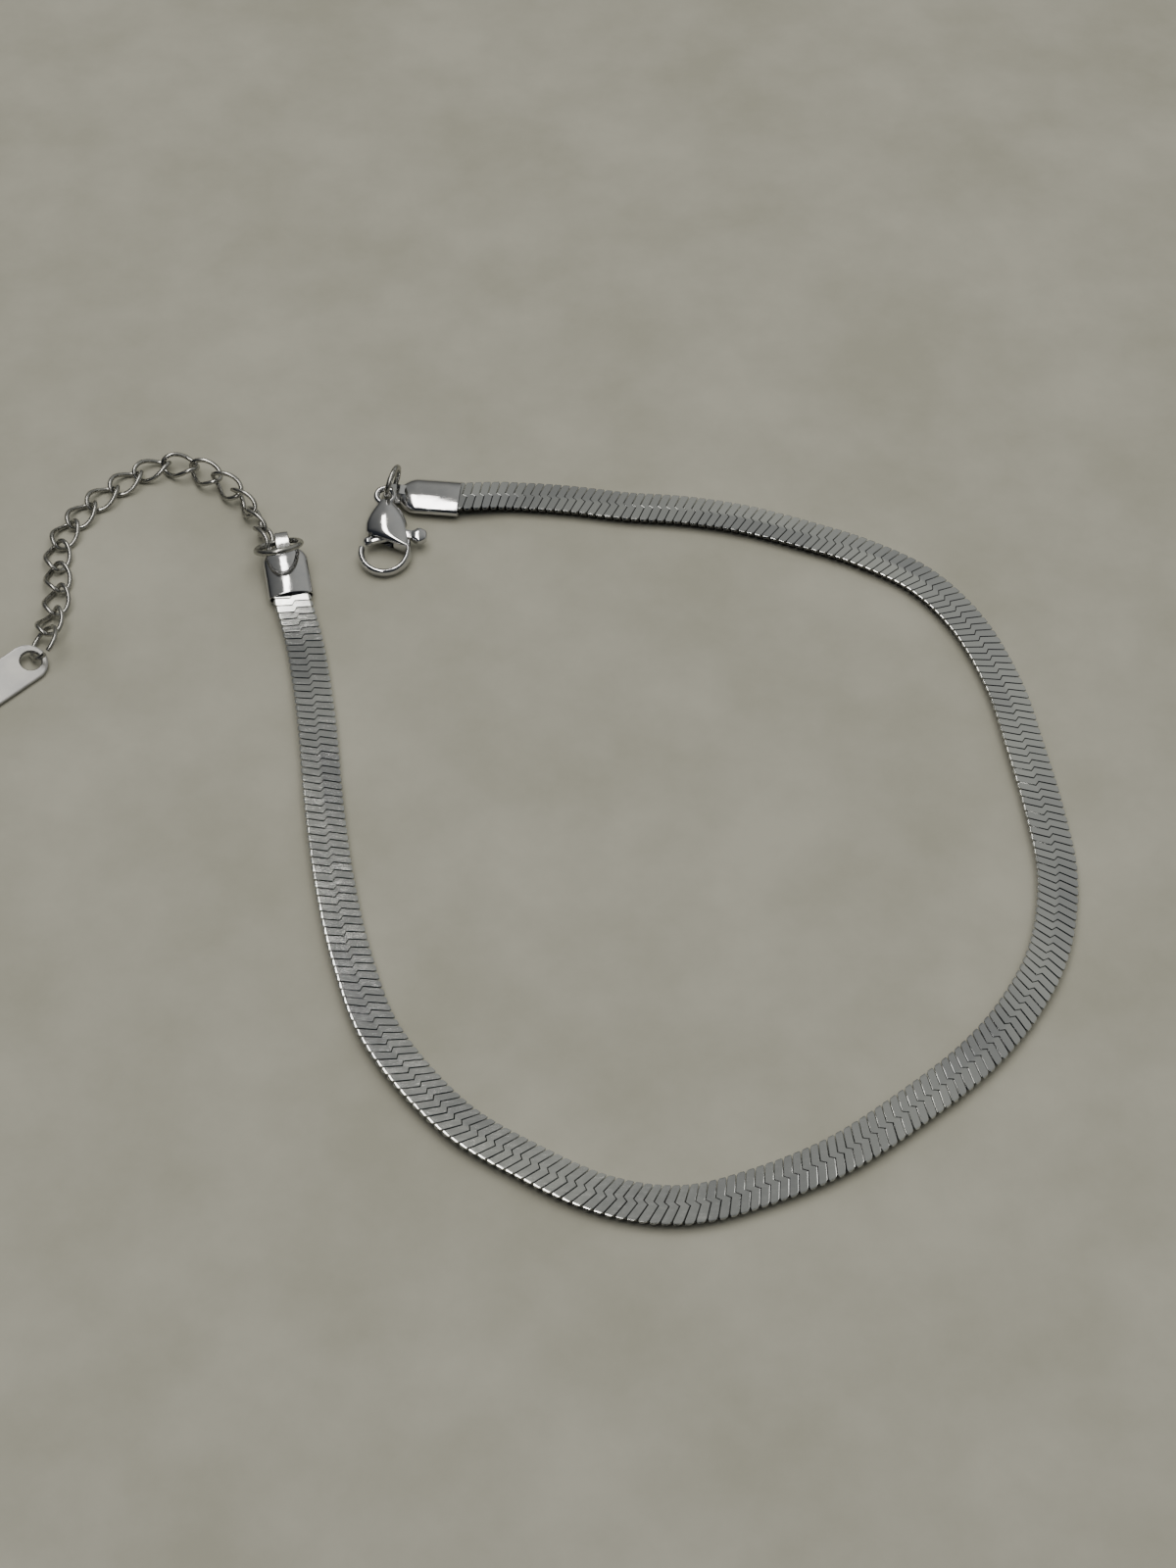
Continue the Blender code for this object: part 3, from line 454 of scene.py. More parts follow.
def axes_of(node):
    """Frame of a CAD solid from its own points: middle of its extents, longest way first."""
    points = np.array([v.co for v in frame["nodes"][node].data.vertices], float)
    points = np.unique(np.round(points, 7), axis=0)
    spread, ways = np.linalg.eigh(np.cov((points - points.mean(0)).T))
    ways = ways[:, np.argsort(-spread)]
    if np.linalg.det(ways) < 0:
        ways[:, 2] = -ways[:, 2]
    flat = points @ ways
    middle = ways @ ((flat.min(0) + flat.max(0)) / 2)
    turn = Matrix([list(row) for row in ways]).to_4x4()
    return Matrix.Translation(Vector(middle)) @ turn


def frame_from(origin, along, up=UP):
    x_axis = along.normalized()
    y_axis = up.cross(x_axis).normalized()
    z_axis = x_axis.cross(y_axis)
    return Matrix.Translation(origin) @ Matrix((x_axis, y_axis, z_axis)).transposed().to_4x4()


# Chain

def smooth_route(points_mm, samples=16):
    points = [Vector((x + LOOP_MIDDLE_MM[0], y + LOOP_MIDDLE_MM[1], 0.0)) * MM for x, y in points_mm]
    return smooth(points, samples)


def band_height(distance, total):
    """Height of the band's middle: flat on the surface, rising into each cap along its axis."""
    slope = tan(radians(CAP_PITCH_AT_EXTENDER)) if distance > total / 2 else 0.0
    outside = min(distance, total - distance) - TAIL_LENGTH
    if outside < 0.0:
        return CAP_HEIGHT / 2 - slope * outside
    share = min(outside / RISE_LENGTH, 1.0)
    ease = share * share * (3 - 2 * share)
    leave = share * (1 - share) ** 2
    return CAP_HEIGHT / 2 * (1 - ease) + BAND_THICKNESS / 2 * ease - slope * RISE_LENGTH * leave


def route_with_heights():
    flat = smooth_route(CHAIN_ROUTE_MM)
    lengths = [0.0]
    for start, end in zip(flat, flat[1:]):
        lengths.append(lengths[-1] + (end - start).length)
    return [p + UP * band_height(s, lengths[-1]) for p, s in zip(flat, lengths)], lengths


def plate_mesh():
    """One link lying flat: a plate right across the band, with its step in the middle and
    rounded ends. It runs along Y, and its place along the chain is X."""
    half, top = BAND_WIDTH / 2, BAND_THICKNESS / 2
    width = LINK_PITCH - SEAM_GAP
    bend = STEP_WIDTH / BAND_WIDTH
    middle_rows = [(share, 1.0, 1.0, share, -1.0) for share in (-bend, bend)]
    left_rows = [(-across, wide, high, -under, low) for across, wide, high, under, low in PLATE_ENDS]
    rows = []
    for across, wide, high, under, low in left_rows + middle_rows + list(reversed(PLATE_ENDS)):
        y = across * half
        step = min(max(y / STEP_WIDTH + 0.5, 0.0), 1.0)
        middle = -LINK_STEP * (step - 0.5)
        side = wide * width / 2
        roof, ground = top * high, (top - PLATE_UNDERSIDE_LIFT) * low
        eave = roof - PLATE_EDGE * high
        inset = PLATE_EDGE * min(1.0, 1.6 * wide - 0.4)
        rows.append([Vector((middle + side, under * half, ground)), Vector((middle + side, y, eave)),
                     Vector((middle + side - inset, y, roof)), Vector((middle - side + inset, y, roof)),
                     Vector((middle - side, y, eave)), Vector((middle - side, under * half, ground))])
    bm = loft(rows)
    mesh = bpy.data.meshes.new("plate")
    bm.to_mesh(mesh)
    bm.free()
    mesh.shade_smooth()
    mesh.set_sharp_from_angle(angle=radians(28))
    # How dark each side wall is made: full at its bottom, less at the eaves, none on top or near the tips
    rim = mesh.attributes.new("plate_wall_darkening", "FLOAT", "POINT")
    for vertex in mesh.vertices:
        near_tip = abs(vertex.co.y) > 0.86 * half
        rim.data[vertex.index].value = 0.0 if near_tip else (1.0, 0.3, 0.0, 0.0, 0.3, 1.0)[vertex.index % 6]
    return mesh


def set_curve(node, points):
    """Points of a float curve node, each a share along and a value."""
    curve = node.mapping.curves[0]
    curve.points[0].location = points[0]
    curve.points[-1].location = points[-1]
    for x, y in points[1:-1]:
        curve.points.new(x, y)
    for point in curve.points:
        point.handle_type = "AUTO_CLAMPED"
    node.mapping.update()


def new_tree(name, inputs, output):
    """An empty node tree, the identifiers of its named inputs, and those inputs to link from."""
    tree = bpy.data.node_groups.new(name, "GeometryNodeTree")
    sockets = {}
    for label, kind in inputs:
        socket = tree.interface.new_socket(label, in_out="INPUT", socket_type="NodeSocket" + kind)
        sockets[label] = socket.identifier
    tree.interface.new_socket(output, in_out="OUTPUT", socket_type="NodeSocketGeometry")
    return tree, sockets, add_node(tree, "NodeGroupInput").outputs


def chain_tree():
    """Lays copies of one plate along a route: evenly spaced, each tipped a little its own way,
    slanted and rolled as the values along the route say."""
    tree, sockets, given = new_tree("plates_along_route", (
        ("Plate", "Geometry"), ("Route", "Object"), ("Length", "Float"), ("Pitch", "Float"),
        ("Plates", "Int"), ("First", "Float"), ("Tip", "Float"), ("Most Slant", "Float"),
        ("Most Roll", "Float"), ("Half Width", "Float"), ("Reflection Stretch Length", "Float"), ("Seed", "Int"),
        ("Finish", "Material")), "Chain")

    # Plates in a row, each with its own small tip and its own luck
    start = add_node(tree, "ShaderNodeCombineXYZ", {"X": given["First"]})
    spacing = add_node(tree, "ShaderNodeCombineXYZ", {"X": given["Pitch"]})
    line = add_node(tree, "GeometryNodeMeshLine", {
        "Count": given["Plates"], "Start Location": start, "Offset": spacing}, mode="OFFSET")
    laid = add_node(tree, "GeometryNodeInstanceOnPoints", {"Points": line, "Instance": given["Plate"]})
    least = add_node(tree, "ShaderNodeMath", {0: given["Tip"], 1: -1.0}, operation="MULTIPLY")
    low = add_node(tree, "ShaderNodeCombineXYZ", {"X": least, "Y": least})
    high = add_node(tree, "ShaderNodeCombineXYZ", {"X": given["Tip"], "Y": given["Tip"]})
    tipping = add_node(tree, "FunctionNodeRandomValue", {0: low, 1: high, "Seed": given["Seed"]},
                       data_type="FLOAT_VECTOR")
    tipped = add_node(tree, "GeometryNodeRotateInstances", {
        "Instances": laid, "Rotation": tipping, "Local Space": True})
    luck = add_node(tree, "FunctionNodeRandomValue", {"Seed": given["Seed"]}, data_type="FLOAT")
    lucky = add_node(tree, "GeometryNodeStoreNamedAttribute", {
        "Geometry": tipped, "Name": "plate_luck", "Value": luck.outputs[1]},
        data_type="FLOAT", domain="INSTANCE")
    real = add_node(tree, "GeometryNodeRealizeInstances", {"Geometry": lucky})
    spot = add_node(tree, "ShaderNodeSeparateXYZ", {
        "Vector": add_node(tree, "GeometryNodeInputPosition")}).outputs

    # Painted reflection: lighter and darker stretches along the chain, another on each half of the band,
    # standing in for the changing reflections of the room
    outer = add_node(tree, "ShaderNodeMath", {0: spot["Y"], 1: 0.0}, operation="GREATER_THAN")
    spread = add_node(tree, "ShaderNodeMath", {0: spot["X"], 1: given["Reflection Stretch Length"]}, operation="DIVIDE")
    where = add_node(tree, "ShaderNodeCombineXYZ", {"X": spread, "Y": outer, "Z": given["Seed"]})
    cloud = add_node(tree, "ShaderNodeTexNoise", {"Vector": where, "Scale": 1.0, "Detail": 1.0})
    tone = add_node(tree, "ShaderNodeMapRange", {"Value": cloud, "From Min": 0.35, "From Max": 0.65})
    toned = add_node(tree, "GeometryNodeStoreNamedAttribute", {
        "Geometry": real, "Name": "plate_tone", "Value": tone}, data_type="FLOAT", domain="POINT")

    # How far along the route each point lies, and how its band is rolled there
    share = add_node(tree, "ShaderNodeMath", {0: spot["X"], 1: given["Length"]}, operation="DIVIDE")
    slant = add_node(tree, "ShaderNodeFloatCurve", {"Value": share})
    set_curve(slant, [(x, y / MOST_SLANT) for x, y in PLATE_SLANT])
    roll = add_node(tree, "ShaderNodeFloatCurve", {"Value": share})
    set_curve(roll, [(x, 0.5 + y / MOST_ROLL) for x, y in BAND_ROLL])
    lean = add_node(tree, "ShaderNodeMath", {0: slant, 1: given["Most Slant"]}, operation="MULTIPLY")
    ahead = add_node(tree, "ShaderNodeMath", {0: lean, 1: spot["Y"], 2: spot["X"]}, operation="MULTIPLY_ADD")
    centred = add_node(tree, "ShaderNodeMath", {0: roll, 1: 0.5}, operation="SUBTRACT")
    angle = add_node(tree, "ShaderNodeMath", {0: centred, 1: given["Most Roll"]}, operation="MULTIPLY")

    # The row bent onto the route, and lifted where it is rolled, so that no edge sinks
    route = add_node(tree, "GeometryNodeObjectInfo", {"Object": given["Route"]}, transform_space="ORIGINAL")
    found = add_node(tree, "GeometryNodeSampleCurve", {"Curves": route.outputs["Geometry"], "Length": ahead},
                     mode="LENGTH")
    tangent = found.outputs["Tangent"]
    level = add_node(tree, "ShaderNodeVectorMath", {0: (0.0, 0.0, 1.0), 1: tangent},
                     operation="CROSS_PRODUCT")
    left = add_node(tree, "ShaderNodeVectorMath", {0: level}, operation="NORMALIZE")
    rise = add_node(tree, "ShaderNodeVectorMath", {0: tangent, 1: left}, operation="CROSS_PRODUCT")
    section = add_node(tree, "ShaderNodeCombineXYZ", {"Y": spot["Y"], "Z": spot["Z"]})
    turned = add_node(tree, "ShaderNodeVectorRotate", {"Vector": section, "Angle": angle},
                      rotation_type="X_AXIS")
    split = add_node(tree, "ShaderNodeSeparateXYZ", {"Vector": turned}).outputs
    sideways = add_node(tree, "ShaderNodeVectorMath", {0: left, "Scale": split["Y"]}, operation="SCALE")
    upwards = add_node(tree, "ShaderNodeVectorMath", {0: rise, "Scale": split["Z"]}, operation="SCALE")
    beside = add_node(tree, "ShaderNodeVectorMath", {0: found.outputs["Position"], 1: sideways},
                      operation="ADD")
    bent = add_node(tree, "ShaderNodeVectorMath", {0: beside, 1: upwards}, operation="ADD")
    amount = add_node(tree, "ShaderNodeMath", {0: angle}, operation="ABSOLUTE")
    raise_by = add_node(tree, "ShaderNodeMath", {0: amount, 1: given["Half Width"]}, operation="MULTIPLY")
    lift = add_node(tree, "ShaderNodeCombineXYZ", {"Z": raise_by})
    placed = add_node(tree, "ShaderNodeVectorMath", {0: bent, 1: lift}, operation="ADD")
    moved = add_node(tree, "GeometryNodeSetPosition", {"Geometry": toned, "Position": placed})
    finished = add_node(tree, "GeometryNodeSetMaterial", {"Geometry": moved, "Material": given["Finish"]})
    add_node(tree, "NodeGroupOutput", {0: finished})
    return tree, sockets


def route_object(name, points, cyclic=False):
    """A bare line in space for a tree to follow. It is removed once the pieces are made."""
    line = bpy.data.curves.new(name, "CURVE")
    line.dimensions = "3D"
    spline = line.splines.new("POLY")
    spline.points.add(len(points) - 1)
    for spot, point in zip(spline.points, points):
        spot.co = (*point, 1.0)
    spline.use_cyclic_u = cyclic
    thing = bpy.data.objects.new(name, line)
    bpy.context.scene.collection.objects.link(thing)
    return thing


def grow(holder, tree, sockets, values, name):
    """Runs a node tree on a holder object and keeps only the plain mesh that it makes."""
    modifier = holder.modifiers.new(tree.name, "NODES")
    modifier.node_group = tree
    for key, value in values.items():
        modifier[sockets[key]] = value
    holder.update_tag()
    bpy.context.view_layer.update()
    return flatten(name, holder)


def make_chain(finish):
    points, lengths = route_with_heights()
    route = route_object("chain_route", points)
    holder = bpy.data.objects.new("plate_holder", plate_mesh())
    bpy.context.scene.collection.objects.link(holder)
    tree, sockets = chain_tree()
    margin = 1.3 * LINK_PITCH
    count = int((lengths[-1] - 2 * margin) / LINK_PITCH) + 1
    chain = grow(holder, tree, sockets, {
        "Route": route, "Length": lengths[-1], "Pitch": LINK_PITCH, "Plates": count, "First": margin,
        "Tip": radians(PLATE_TIP), "Most Slant": MOST_SLANT, "Most Roll": radians(MOST_ROLL),
        "Half Width": BAND_WIDTH / 2, "Reflection Stretch Length": REFLECTION_STRETCH_LENGTH, "Seed": PLATE_SEED, "Finish": finish,
    }, "herringbone_plates")
    bpy.data.objects.remove(route, do_unlink=True)
    return chain


# End caps

def cap_frames():
    """Where each cap sits: the middle of its mouth, with X to its closed end."""
    points, lengths = route_with_heights()
    frames = []
    for at_start in (True, False):
        goal = TAIL_LENGTH if at_start else lengths[-1] - TAIL_LENGTH
        index = next(i for i, s in enumerate(lengths) if s >= goal)
        share = (goal - lengths[index - 1]) / (lengths[index] - lengths[index - 1])
        mouth = points[index - 1].lerp(points[index], share)
        tail = points[0] if at_start else points[-1]
        outward = Vector((tail.x - mouth.x, tail.y - mouth.y, 0.0)).normalized()
        pitch = 0.0 if at_start else radians(CAP_PITCH_AT_EXTENDER)
        origin = Vector((mouth.x, mouth.y, CAP_HEIGHT / 2))
        frames.append(frame_from(origin, outward * cos(pitch) + UP * sin(pitch)))
    return frames


def cap_ring(along, width, height, roundness=CAP_ROUNDNESS, sides=64):
    turns = [on_oval(2 * pi * k / sides, roundness) for k in range(sides)]
    return [Vector((along, across * width / 2, up * height / 2)) for across, up in turns]


def make_cap(name, place, finish):
    """A drawn cup with a rolled mouth and rounded shoulder, and its strap bent to a loop."""
    straight = CAP_LENGTH - CAP_SHOULDER
    neck = STRAP_WIDTH + 3 * STRAP_THICKNESS
    rings = []
    inner_width, inner_height = CAP_WIDTH - 2 * CAP_WALL, CAP_HEIGHT - 2 * CAP_WALL
    inside = CAP_ROUNDNESS_INSIDE
    rings.append(cap_ring(straight - CAP_FLOOR, inner_width * 0.9, inner_height * 0.9, inside))
    rings.append(cap_ring(straight - CAP_FLOOR - 0.2 * MM, inner_width, inner_height, inside))
    for k in range(9):
        turn = pi * k / 8
        grow_by = CAP_WALL / 2 * (1 - cos(turn))
        rings.append(cap_ring(CAP_WALL / 2 * (1 - sin(turn)), inner_width + 2 * grow_by,
                              inner_height + 2 * grow_by, inside + (CAP_ROUNDNESS - inside) * k / 8))
    rings.append(cap_ring(straight * 0.5, CAP_WIDTH, CAP_HEIGHT))
    for k in range(13):
        share = k / 12
        ease = share ** 2.2
        rings.append(cap_ring(straight + CAP_SHOULDER * share, CAP_WIDTH + (neck - CAP_WIDTH) * ease,
                              CAP_HEIGHT * (1 - 0.22 * ease)))
    rings.append(cap_ring(CAP_LENGTH + 0.05 * MM, neck * 0.8, CAP_HEIGHT * 0.6))
    bm = loft(rings)
    half = STRAP_HEIGHT / 2 - STRAP_THICKNESS / 2
    centre = CAP_LENGTH + STRAP_LENGTH - STRAP_HEIGHT / 2
    neck_path = [(-1.5, 0.62), (-1.0, 0.74), (-0.5, 0.88), (0.0, 0.97), (0.2, 1.0)]
    path = [Vector((CAP_LENGTH + x * MM, 0.0, -half * share)) for x, share in neck_path]
    path += [Vector((centre + half * sin(pi * k / 16), 0.0, -half * cos(pi * k / 16))) for k in range(17)]
    path += [Vector((CAP_LENGTH + x * MM, 0.0, half * share)) for x, share in reversed(neck_path)]
    add_strip(bm, path)
    bmesh.ops.transform(bm, matrix=place, verts=bm.verts)
    return as_object(name, bm, finish, 35.0)


def add_strip(bm, path):
    """A flat strip with rounded edges along a path in XZ, added to the cup."""
    width, thick = STRAP_WIDTH / 2, STRAP_THICKNESS / 2
    soft = 0.1 * MM
    outline = [(-width + soft, -thick), (width - soft, -thick), (width, -thick + soft), (width, thick - soft),
               (width - soft, thick), (-width + soft, thick), (-width, thick - soft), (-width, -thick + soft)]
    rings = []
    for index, point in enumerate(path):
        ahead = path[min(index + 1, len(path) - 1)] - path[max(index - 1, 0)]
        off = Vector((-ahead.z, 0.0, ahead.x)).normalized()
        rings.append([point + Vector((0.0, y, 0.0)) + off * z for y, z in outline])
    take_in(bm, loft(rings))


# Rings and extender

def make_ring(name, node, sizes, towards, gap, finish):
    """A jump ring of round wire in the place of its solid, with its cut turned to a point."""
    place = axes_of(node)
    radius = (sizes["diameter"] - sizes["wire"]) / 2
    local = place.inverted() @ towards
    start = np.arctan2(local.y, local.x)
    half_gap = gap / radius / 2
    steps = 64
    turns = [start + half_gap + (2 * pi - 2 * half_gap) * k / steps for k in range(steps + 1)]
    path = [place @ Vector((radius * cos(a), radius * sin(a), 0.0)) for a in turns]
    return as_object(name, loft(tube_sections(path, sizes["wire"] / 2, 16, False)), finish)


def link_path(steps=40):
    """Middle line of one oval link, along X, turned a little more the nearer to each end."""
    half_length = (LINK_LENGTH - LINK_SOLID_WIRE) / 2
    half_width = (LINK_WIDTH - LINK_SOLID_WIRE) / 2
    path = []
    for index in range(steps):
        angle = 2 * pi * index / steps
        turn = radians(LINK_TWIST) * cos(angle)
        across = half_width * sin(angle)
        path.append(Vector((half_length * cos(angle), across * cos(turn), across * sin(turn))))
    return path


def links_tree():
    """Puts a link of round wire on each point, turned as the point's own value says."""
    tree, sockets, given = new_tree("links_on_points", (
        ("Places", "Geometry"), ("Bend", "Object"), ("Wire", "Float"), ("Sides", "Int"),
        ("Finish", "Material")), "Links")
    bend = add_node(tree, "GeometryNodeObjectInfo", {"Object": given["Bend"]}, transform_space="ORIGINAL")
    radius = add_node(tree, "ShaderNodeMath", {0: given["Wire"], 1: 0.5}, operation="MULTIPLY")
    section = add_node(tree, "GeometryNodeCurvePrimitiveCircle", {
        "Resolution": given["Sides"], "Radius": radius}, mode="RADIUS")
    wire = add_node(tree, "GeometryNodeCurveToMesh", {
        "Curve": bend.outputs["Geometry"], "Profile Curve": section, "Fill Caps": True})
    turn = add_node(tree, "GeometryNodeInputNamedAttribute", {"Name": "turn"}, data_type="FLOAT_VECTOR")
    laid = add_node(tree, "GeometryNodeInstanceOnPoints", {
        "Points": given["Places"], "Instance": wire, "Rotation": turn})
    real = add_node(tree, "GeometryNodeRealizeInstances", {"Geometry": laid})
    rounded = add_node(tree, "GeometryNodeSetShadeSmooth", {"Geometry": real, "Shade Smooth": True})
    finished = add_node(tree, "GeometryNodeSetMaterial", {"Geometry": rounded, "Material": given["Finish"]})
    add_node(tree, "NodeGroupOutput", {0: finished})
    return tree, sockets


def make_links(nodes, finish):
    """All the extender's links, each in the place of its solid."""
    places = [axes_of(node) for node in nodes]
    mesh = bpy.data.meshes.new("link_places")
    mesh.from_pydata([place.translation for place in places], [], [])
    turn = mesh.attributes.new("turn", "FLOAT_VECTOR", "POINT")
    for index, place in enumerate(places):
        turn.data[index].vector = place.to_euler("XYZ")
    holder = bpy.data.objects.new("link_holder", mesh)
    bpy.context.scene.collection.objects.link(holder)
    bend = route_object("link_bend", link_path(), True)
    tree, sockets = links_tree()
    links = grow(holder, tree, sockets, {"Bend": bend, "Wire": LINK_WIRE, "Sides": 12, "Finish": finish},
                 "extender_links")
    bpy.data.objects.remove(bend, do_unlink=True)
    return links


# Clasp

def clasp_place():
    """Frame of the clasp at its eye, from the lever's pin: X across, Y from the hook to the eye."""
    joint = frame["joints"][0]
    z_axis = Vector(joint["axis"]).normalized()
    x_axis = UP.cross(z_axis).normalized()
    y_axis = z_axis.cross(x_axis)
    turn = Matrix((x_axis, y_axis, z_axis)).transposed()
    return Matrix.Translation(Vector(joint["pos_m"]) - turn @ trigger_pivot()) @ turn.to_4x4()


def trigger_pivot():
    return Vector((PIVOT_ACROSS * CLASP_WIDTH / 2, -PIVOT_DOWN * CLASP_LENGTH, 0.0))


def hook_centre():
    return Vector((0.0, -(CLASP_LENGTH - CLASP_EYE_DIAMETER / 2 - CLASP_WIDTH / 2), 0.0))


def trigger_points():
    half_width = CLASP_WIDTH / 2
    tip_angle = radians(HOOK_LAST_ANGLE)
    hook_tip = hook_centre() + Vector((cos(tip_angle), sin(tip_angle), 0.0)) * (half_width - HOOK_WIDTH / 2)
    tip = hook_tip + Vector((TRIGGER_WIDTH / 2 + SPARE_GAP + 0.1 * HOOK_WIDTH, TRIGGER_WIDTH * 0.75, 0.0))
    thumb = Vector((half_width + THUMB_DIAMETER * 0.45, trigger_pivot().y - 0.2 * THUMB_DIAMETER, 0.0))
    return tip, thumb


def oval(left, right, half_thickness, sides=28):
    middle, half = (left + right) / 2, (right - left) / 2
    turns = [on_oval(2 * pi * k / sides, 2.0) for k in range(sides)]
    return [middle + half * across + UP * half_thickness * up for across, up in turns]


def make_clasp_body(place, finish):
    """A cast teardrop body that runs on into the hook, with its eye, and the lever's slot cut in."""
    half_width = CLASP_WIDTH / 2
    rows = [(r["left"] * half_width, -r["left_down"] * CLASP_LENGTH, r["right"] * half_width,
             -r["right_down"] * CLASP_LENGTH, r["thick"] * CLASP_THICKNESS / 2) for r in CLASP_SECTIONS]
    centre = hook_centre()
    root = CLASP_SECTIONS[-1]["thick"] * CLASP_THICKNESS
    steps = 14
    for step in range(steps + 1):
        share = step / steps
        angle = radians(HOOK_FIRST_ANGLE + (HOOK_LAST_ANGLE - HOOK_FIRST_ANGLE) * share)
        outward = Vector((cos(angle), sin(angle), 0.0))
        settle = min(share * 3, 1.0)
        thickness = root + (HOOK_THICKNESS - root) * settle
        outer, inner = centre + outward * half_width, centre + outward * (half_width - HOOK_WIRE)
        rows.append((inner.x, inner.y, outer.x, outer.y, thickness / 2))
    rings = [oval(Vector((r[0], r[1], 0.0)), Vector((r[2], r[3], 0.0)), r[4])
             for r in smooth([np.array(row, float) for row in rows], 3)]
    last = rings[-1]
    middle = sum(last, Vector()) / len(last)
    ahead = Vector((sin(radians(HOOK_LAST_ANGLE)), -cos(radians(HOOK_LAST_ANGLE)), 0.0))
    for share in (0.35, 0.7, 0.93):
        shrink = sqrt(1 - share ** 2)
        rings.append([middle + (point - middle) * shrink + ahead * HOOK_WIRE * 0.3 * share for point in last])
    body = as_object("clasp_body_rough", loft(rings), finish, None)
    eye_radius = (CLASP_EYE_DIAMETER - CLASP_EYE_WIRE) / 2
    wire = tube_sections(circle(eye_radius, 48), CLASP_EYE_WIRE / 2, 20, True)
    eye = as_object("eye_tool", loft(wire, loop=True), finish, None)
    inside = eye_radius - CLASP_EYE_WIRE / 2
    bore = [circle(inside, 48, (0.0, 0.0, z)) for z in (-CLASP_THICKNESS, CLASP_THICKNESS)]
    hole = as_object("hole_tool", loft(bore), finish, None)
    slot = as_object("slot_tool", slot_solid(), finish, None)
    tools = ((hole, "DIFFERENCE"), (eye, "UNION"), (slot, "DIFFERENCE"))
    result = combine("clasp_body_cast", body, tools, finish)
    result.data.transform(place)
    result.data.shade_smooth()
    result.data.set_sharp_from_angle(angle=radians(38))
    return result


def slot_solid():
    """Room for the lever at every angle, as a plate to cut with."""
    pivot = trigger_pivot()
    tip, thumb = trigger_points()
    travel = radians(frame["joints"][0]["range_deg"][1])
    side = TRIGGER_WIDTH / 2 * 1.15 + SLOT_GAP
    fans = []
    for arm, beyond in ((tip - pivot, TRIGGER_WIDTH / 2 + SLOT_GAP),
                        (thumb - pivot, THUMB_DIAMETER / 2 + SLOT_GAP)):
        headings = [(Matrix.Rotation(travel * k / 6, 3, "Z") @ arm).normalized() for k in range(7)]
        quarter = Matrix.Rotation(pi / 2, 3, "Z")
        behind, before = -(quarter @ headings[0]), quarter @ headings[-1]
        reach = arm.length + beyond
        rim = [heading * reach for heading in headings]
        fans.append((behind, before, [rim[0] + behind * side] + rim + [rim[-1] + before * side]))
    (tip_behind, tip_before, tip_rim), (thumb_behind, thumb_before, thumb_rim) = fans
    below = (tip_before + thumb_behind) * side / (1 + tip_before.dot(thumb_behind))
    above = (thumb_before + tip_behind) * side / (1 + thumb_before.dot(tip_behind))
    outline = [pivot + corner for corner in tip_rim + [below] + thumb_rim + [above]]
    half = TRIGGER_THICKNESS / 2 + SLOT_GAP
    return loft([[point - UP * half for point in outline], [point + UP * half for point in outline]])


def capsule(start, end, start_radius, end_radius, steps=12):
    heading = end - start
    turn = np.arctan2(heading.y, heading.x)
    spread = np.arcsin((start_radius - end_radius) / heading.length)
    outline = []
    for k in range(steps + 1):
        angle = turn - pi / 2 + spread + (pi - 2 * spread) * k / steps
        outline.append(end + Vector((cos(angle), sin(angle), 0.0)) * end_radius)
    for k in range(steps + 1):
        angle = turn + pi / 2 - spread + (pi + 2 * spread) * k / steps
        outline.append(start + Vector((cos(angle), sin(angle), 0.0)) * start_radius)
    return outline


def rounded_plate(outline, half, edge):
    """A plate with rounded edges from an outline in XY, closed outwards."""
    middle = sum(outline, Vector()) / len(outline)
    rings = []
    for share, height in ((0.0, -1.0), (0.38, -0.92), (0.71, -0.71), (0.92, -0.38), (1.0, 0.0), (0.92, 0.38),
                          (0.71, 0.71), (0.38, 0.92), (0.0, 1.0)):
        inset = edge * (1 - share)
        level = copysign(half - edge * (1 - abs(height)), height) if height else 0.0
        rings.append([point + (middle - point).normalized() * inset + UP * level for point in outline])
    return loft(rings)


def make_trigger(place, finish):
    """The sprung lever: a rounded arm to the hook's tip and a bright domed thumb piece."""
    pivot = trigger_pivot()
    tip, thumb = trigger_points()
    half = TRIGGER_THICKNESS / 2
    parts = [
        rounded_plate(capsule(pivot, tip, TRIGGER_WIDTH / 2 * 1.15, TRIGGER_WIDTH * 0.25), half, 0.34 * MM),
        rounded_plate(capsule(pivot, thumb, TRIGGER_WIDTH / 2, TRIGGER_WIDTH / 2 * 0.8), half, 0.2 * MM),
    ]
    dome = []
    for high, wide in ((-1.04, 0.3), (-0.98, 0.62), (-0.86, 0.86), (-0.55, 1.0),
                       (0.55, 1.0), (0.86, 0.86), (0.98, 0.62), (1.04, 0.3)):
        middle = thumb + UP * half * 1.5 * high
        # Six shallow flutes round the thumb piece give the finger a grip
        dome.append([middle + point * (1 - 0.035 * (1 + cos(6 * 2 * pi * k / 32)))
                     for k, point in enumerate(circle(THUMB_DIAMETER / 2 * wide, 32))])
    parts.append(loft(dome))
    ball = bmesh.new()
    bmesh.ops.create_uvsphere(ball, u_segments=28, v_segments=16, radius=TRIGGER_WIDTH * 0.5)
    bmesh.ops.translate(ball, verts=ball.verts, vec=tip - Vector((0.32 * MM, -0.05 * MM, 0.0)))
    parts.append(ball)
    whole = bmesh.new()
    for part in parts:
        take_in(whole, part)
    bmesh.ops.transform(whole, matrix=place, verts=whole.verts)
    return as_object("clasp_lever", whole, finish, 38.0)


# Tag

def draw_in(point, straight, radius, inset):
    """A point of the tag's outline moved in by a distance, square to the outline."""
    middle = Vector((min(max(point.x, -straight), straight), 0.0, 0.0))
    return middle + (point - middle) * (1 - inset / radius)


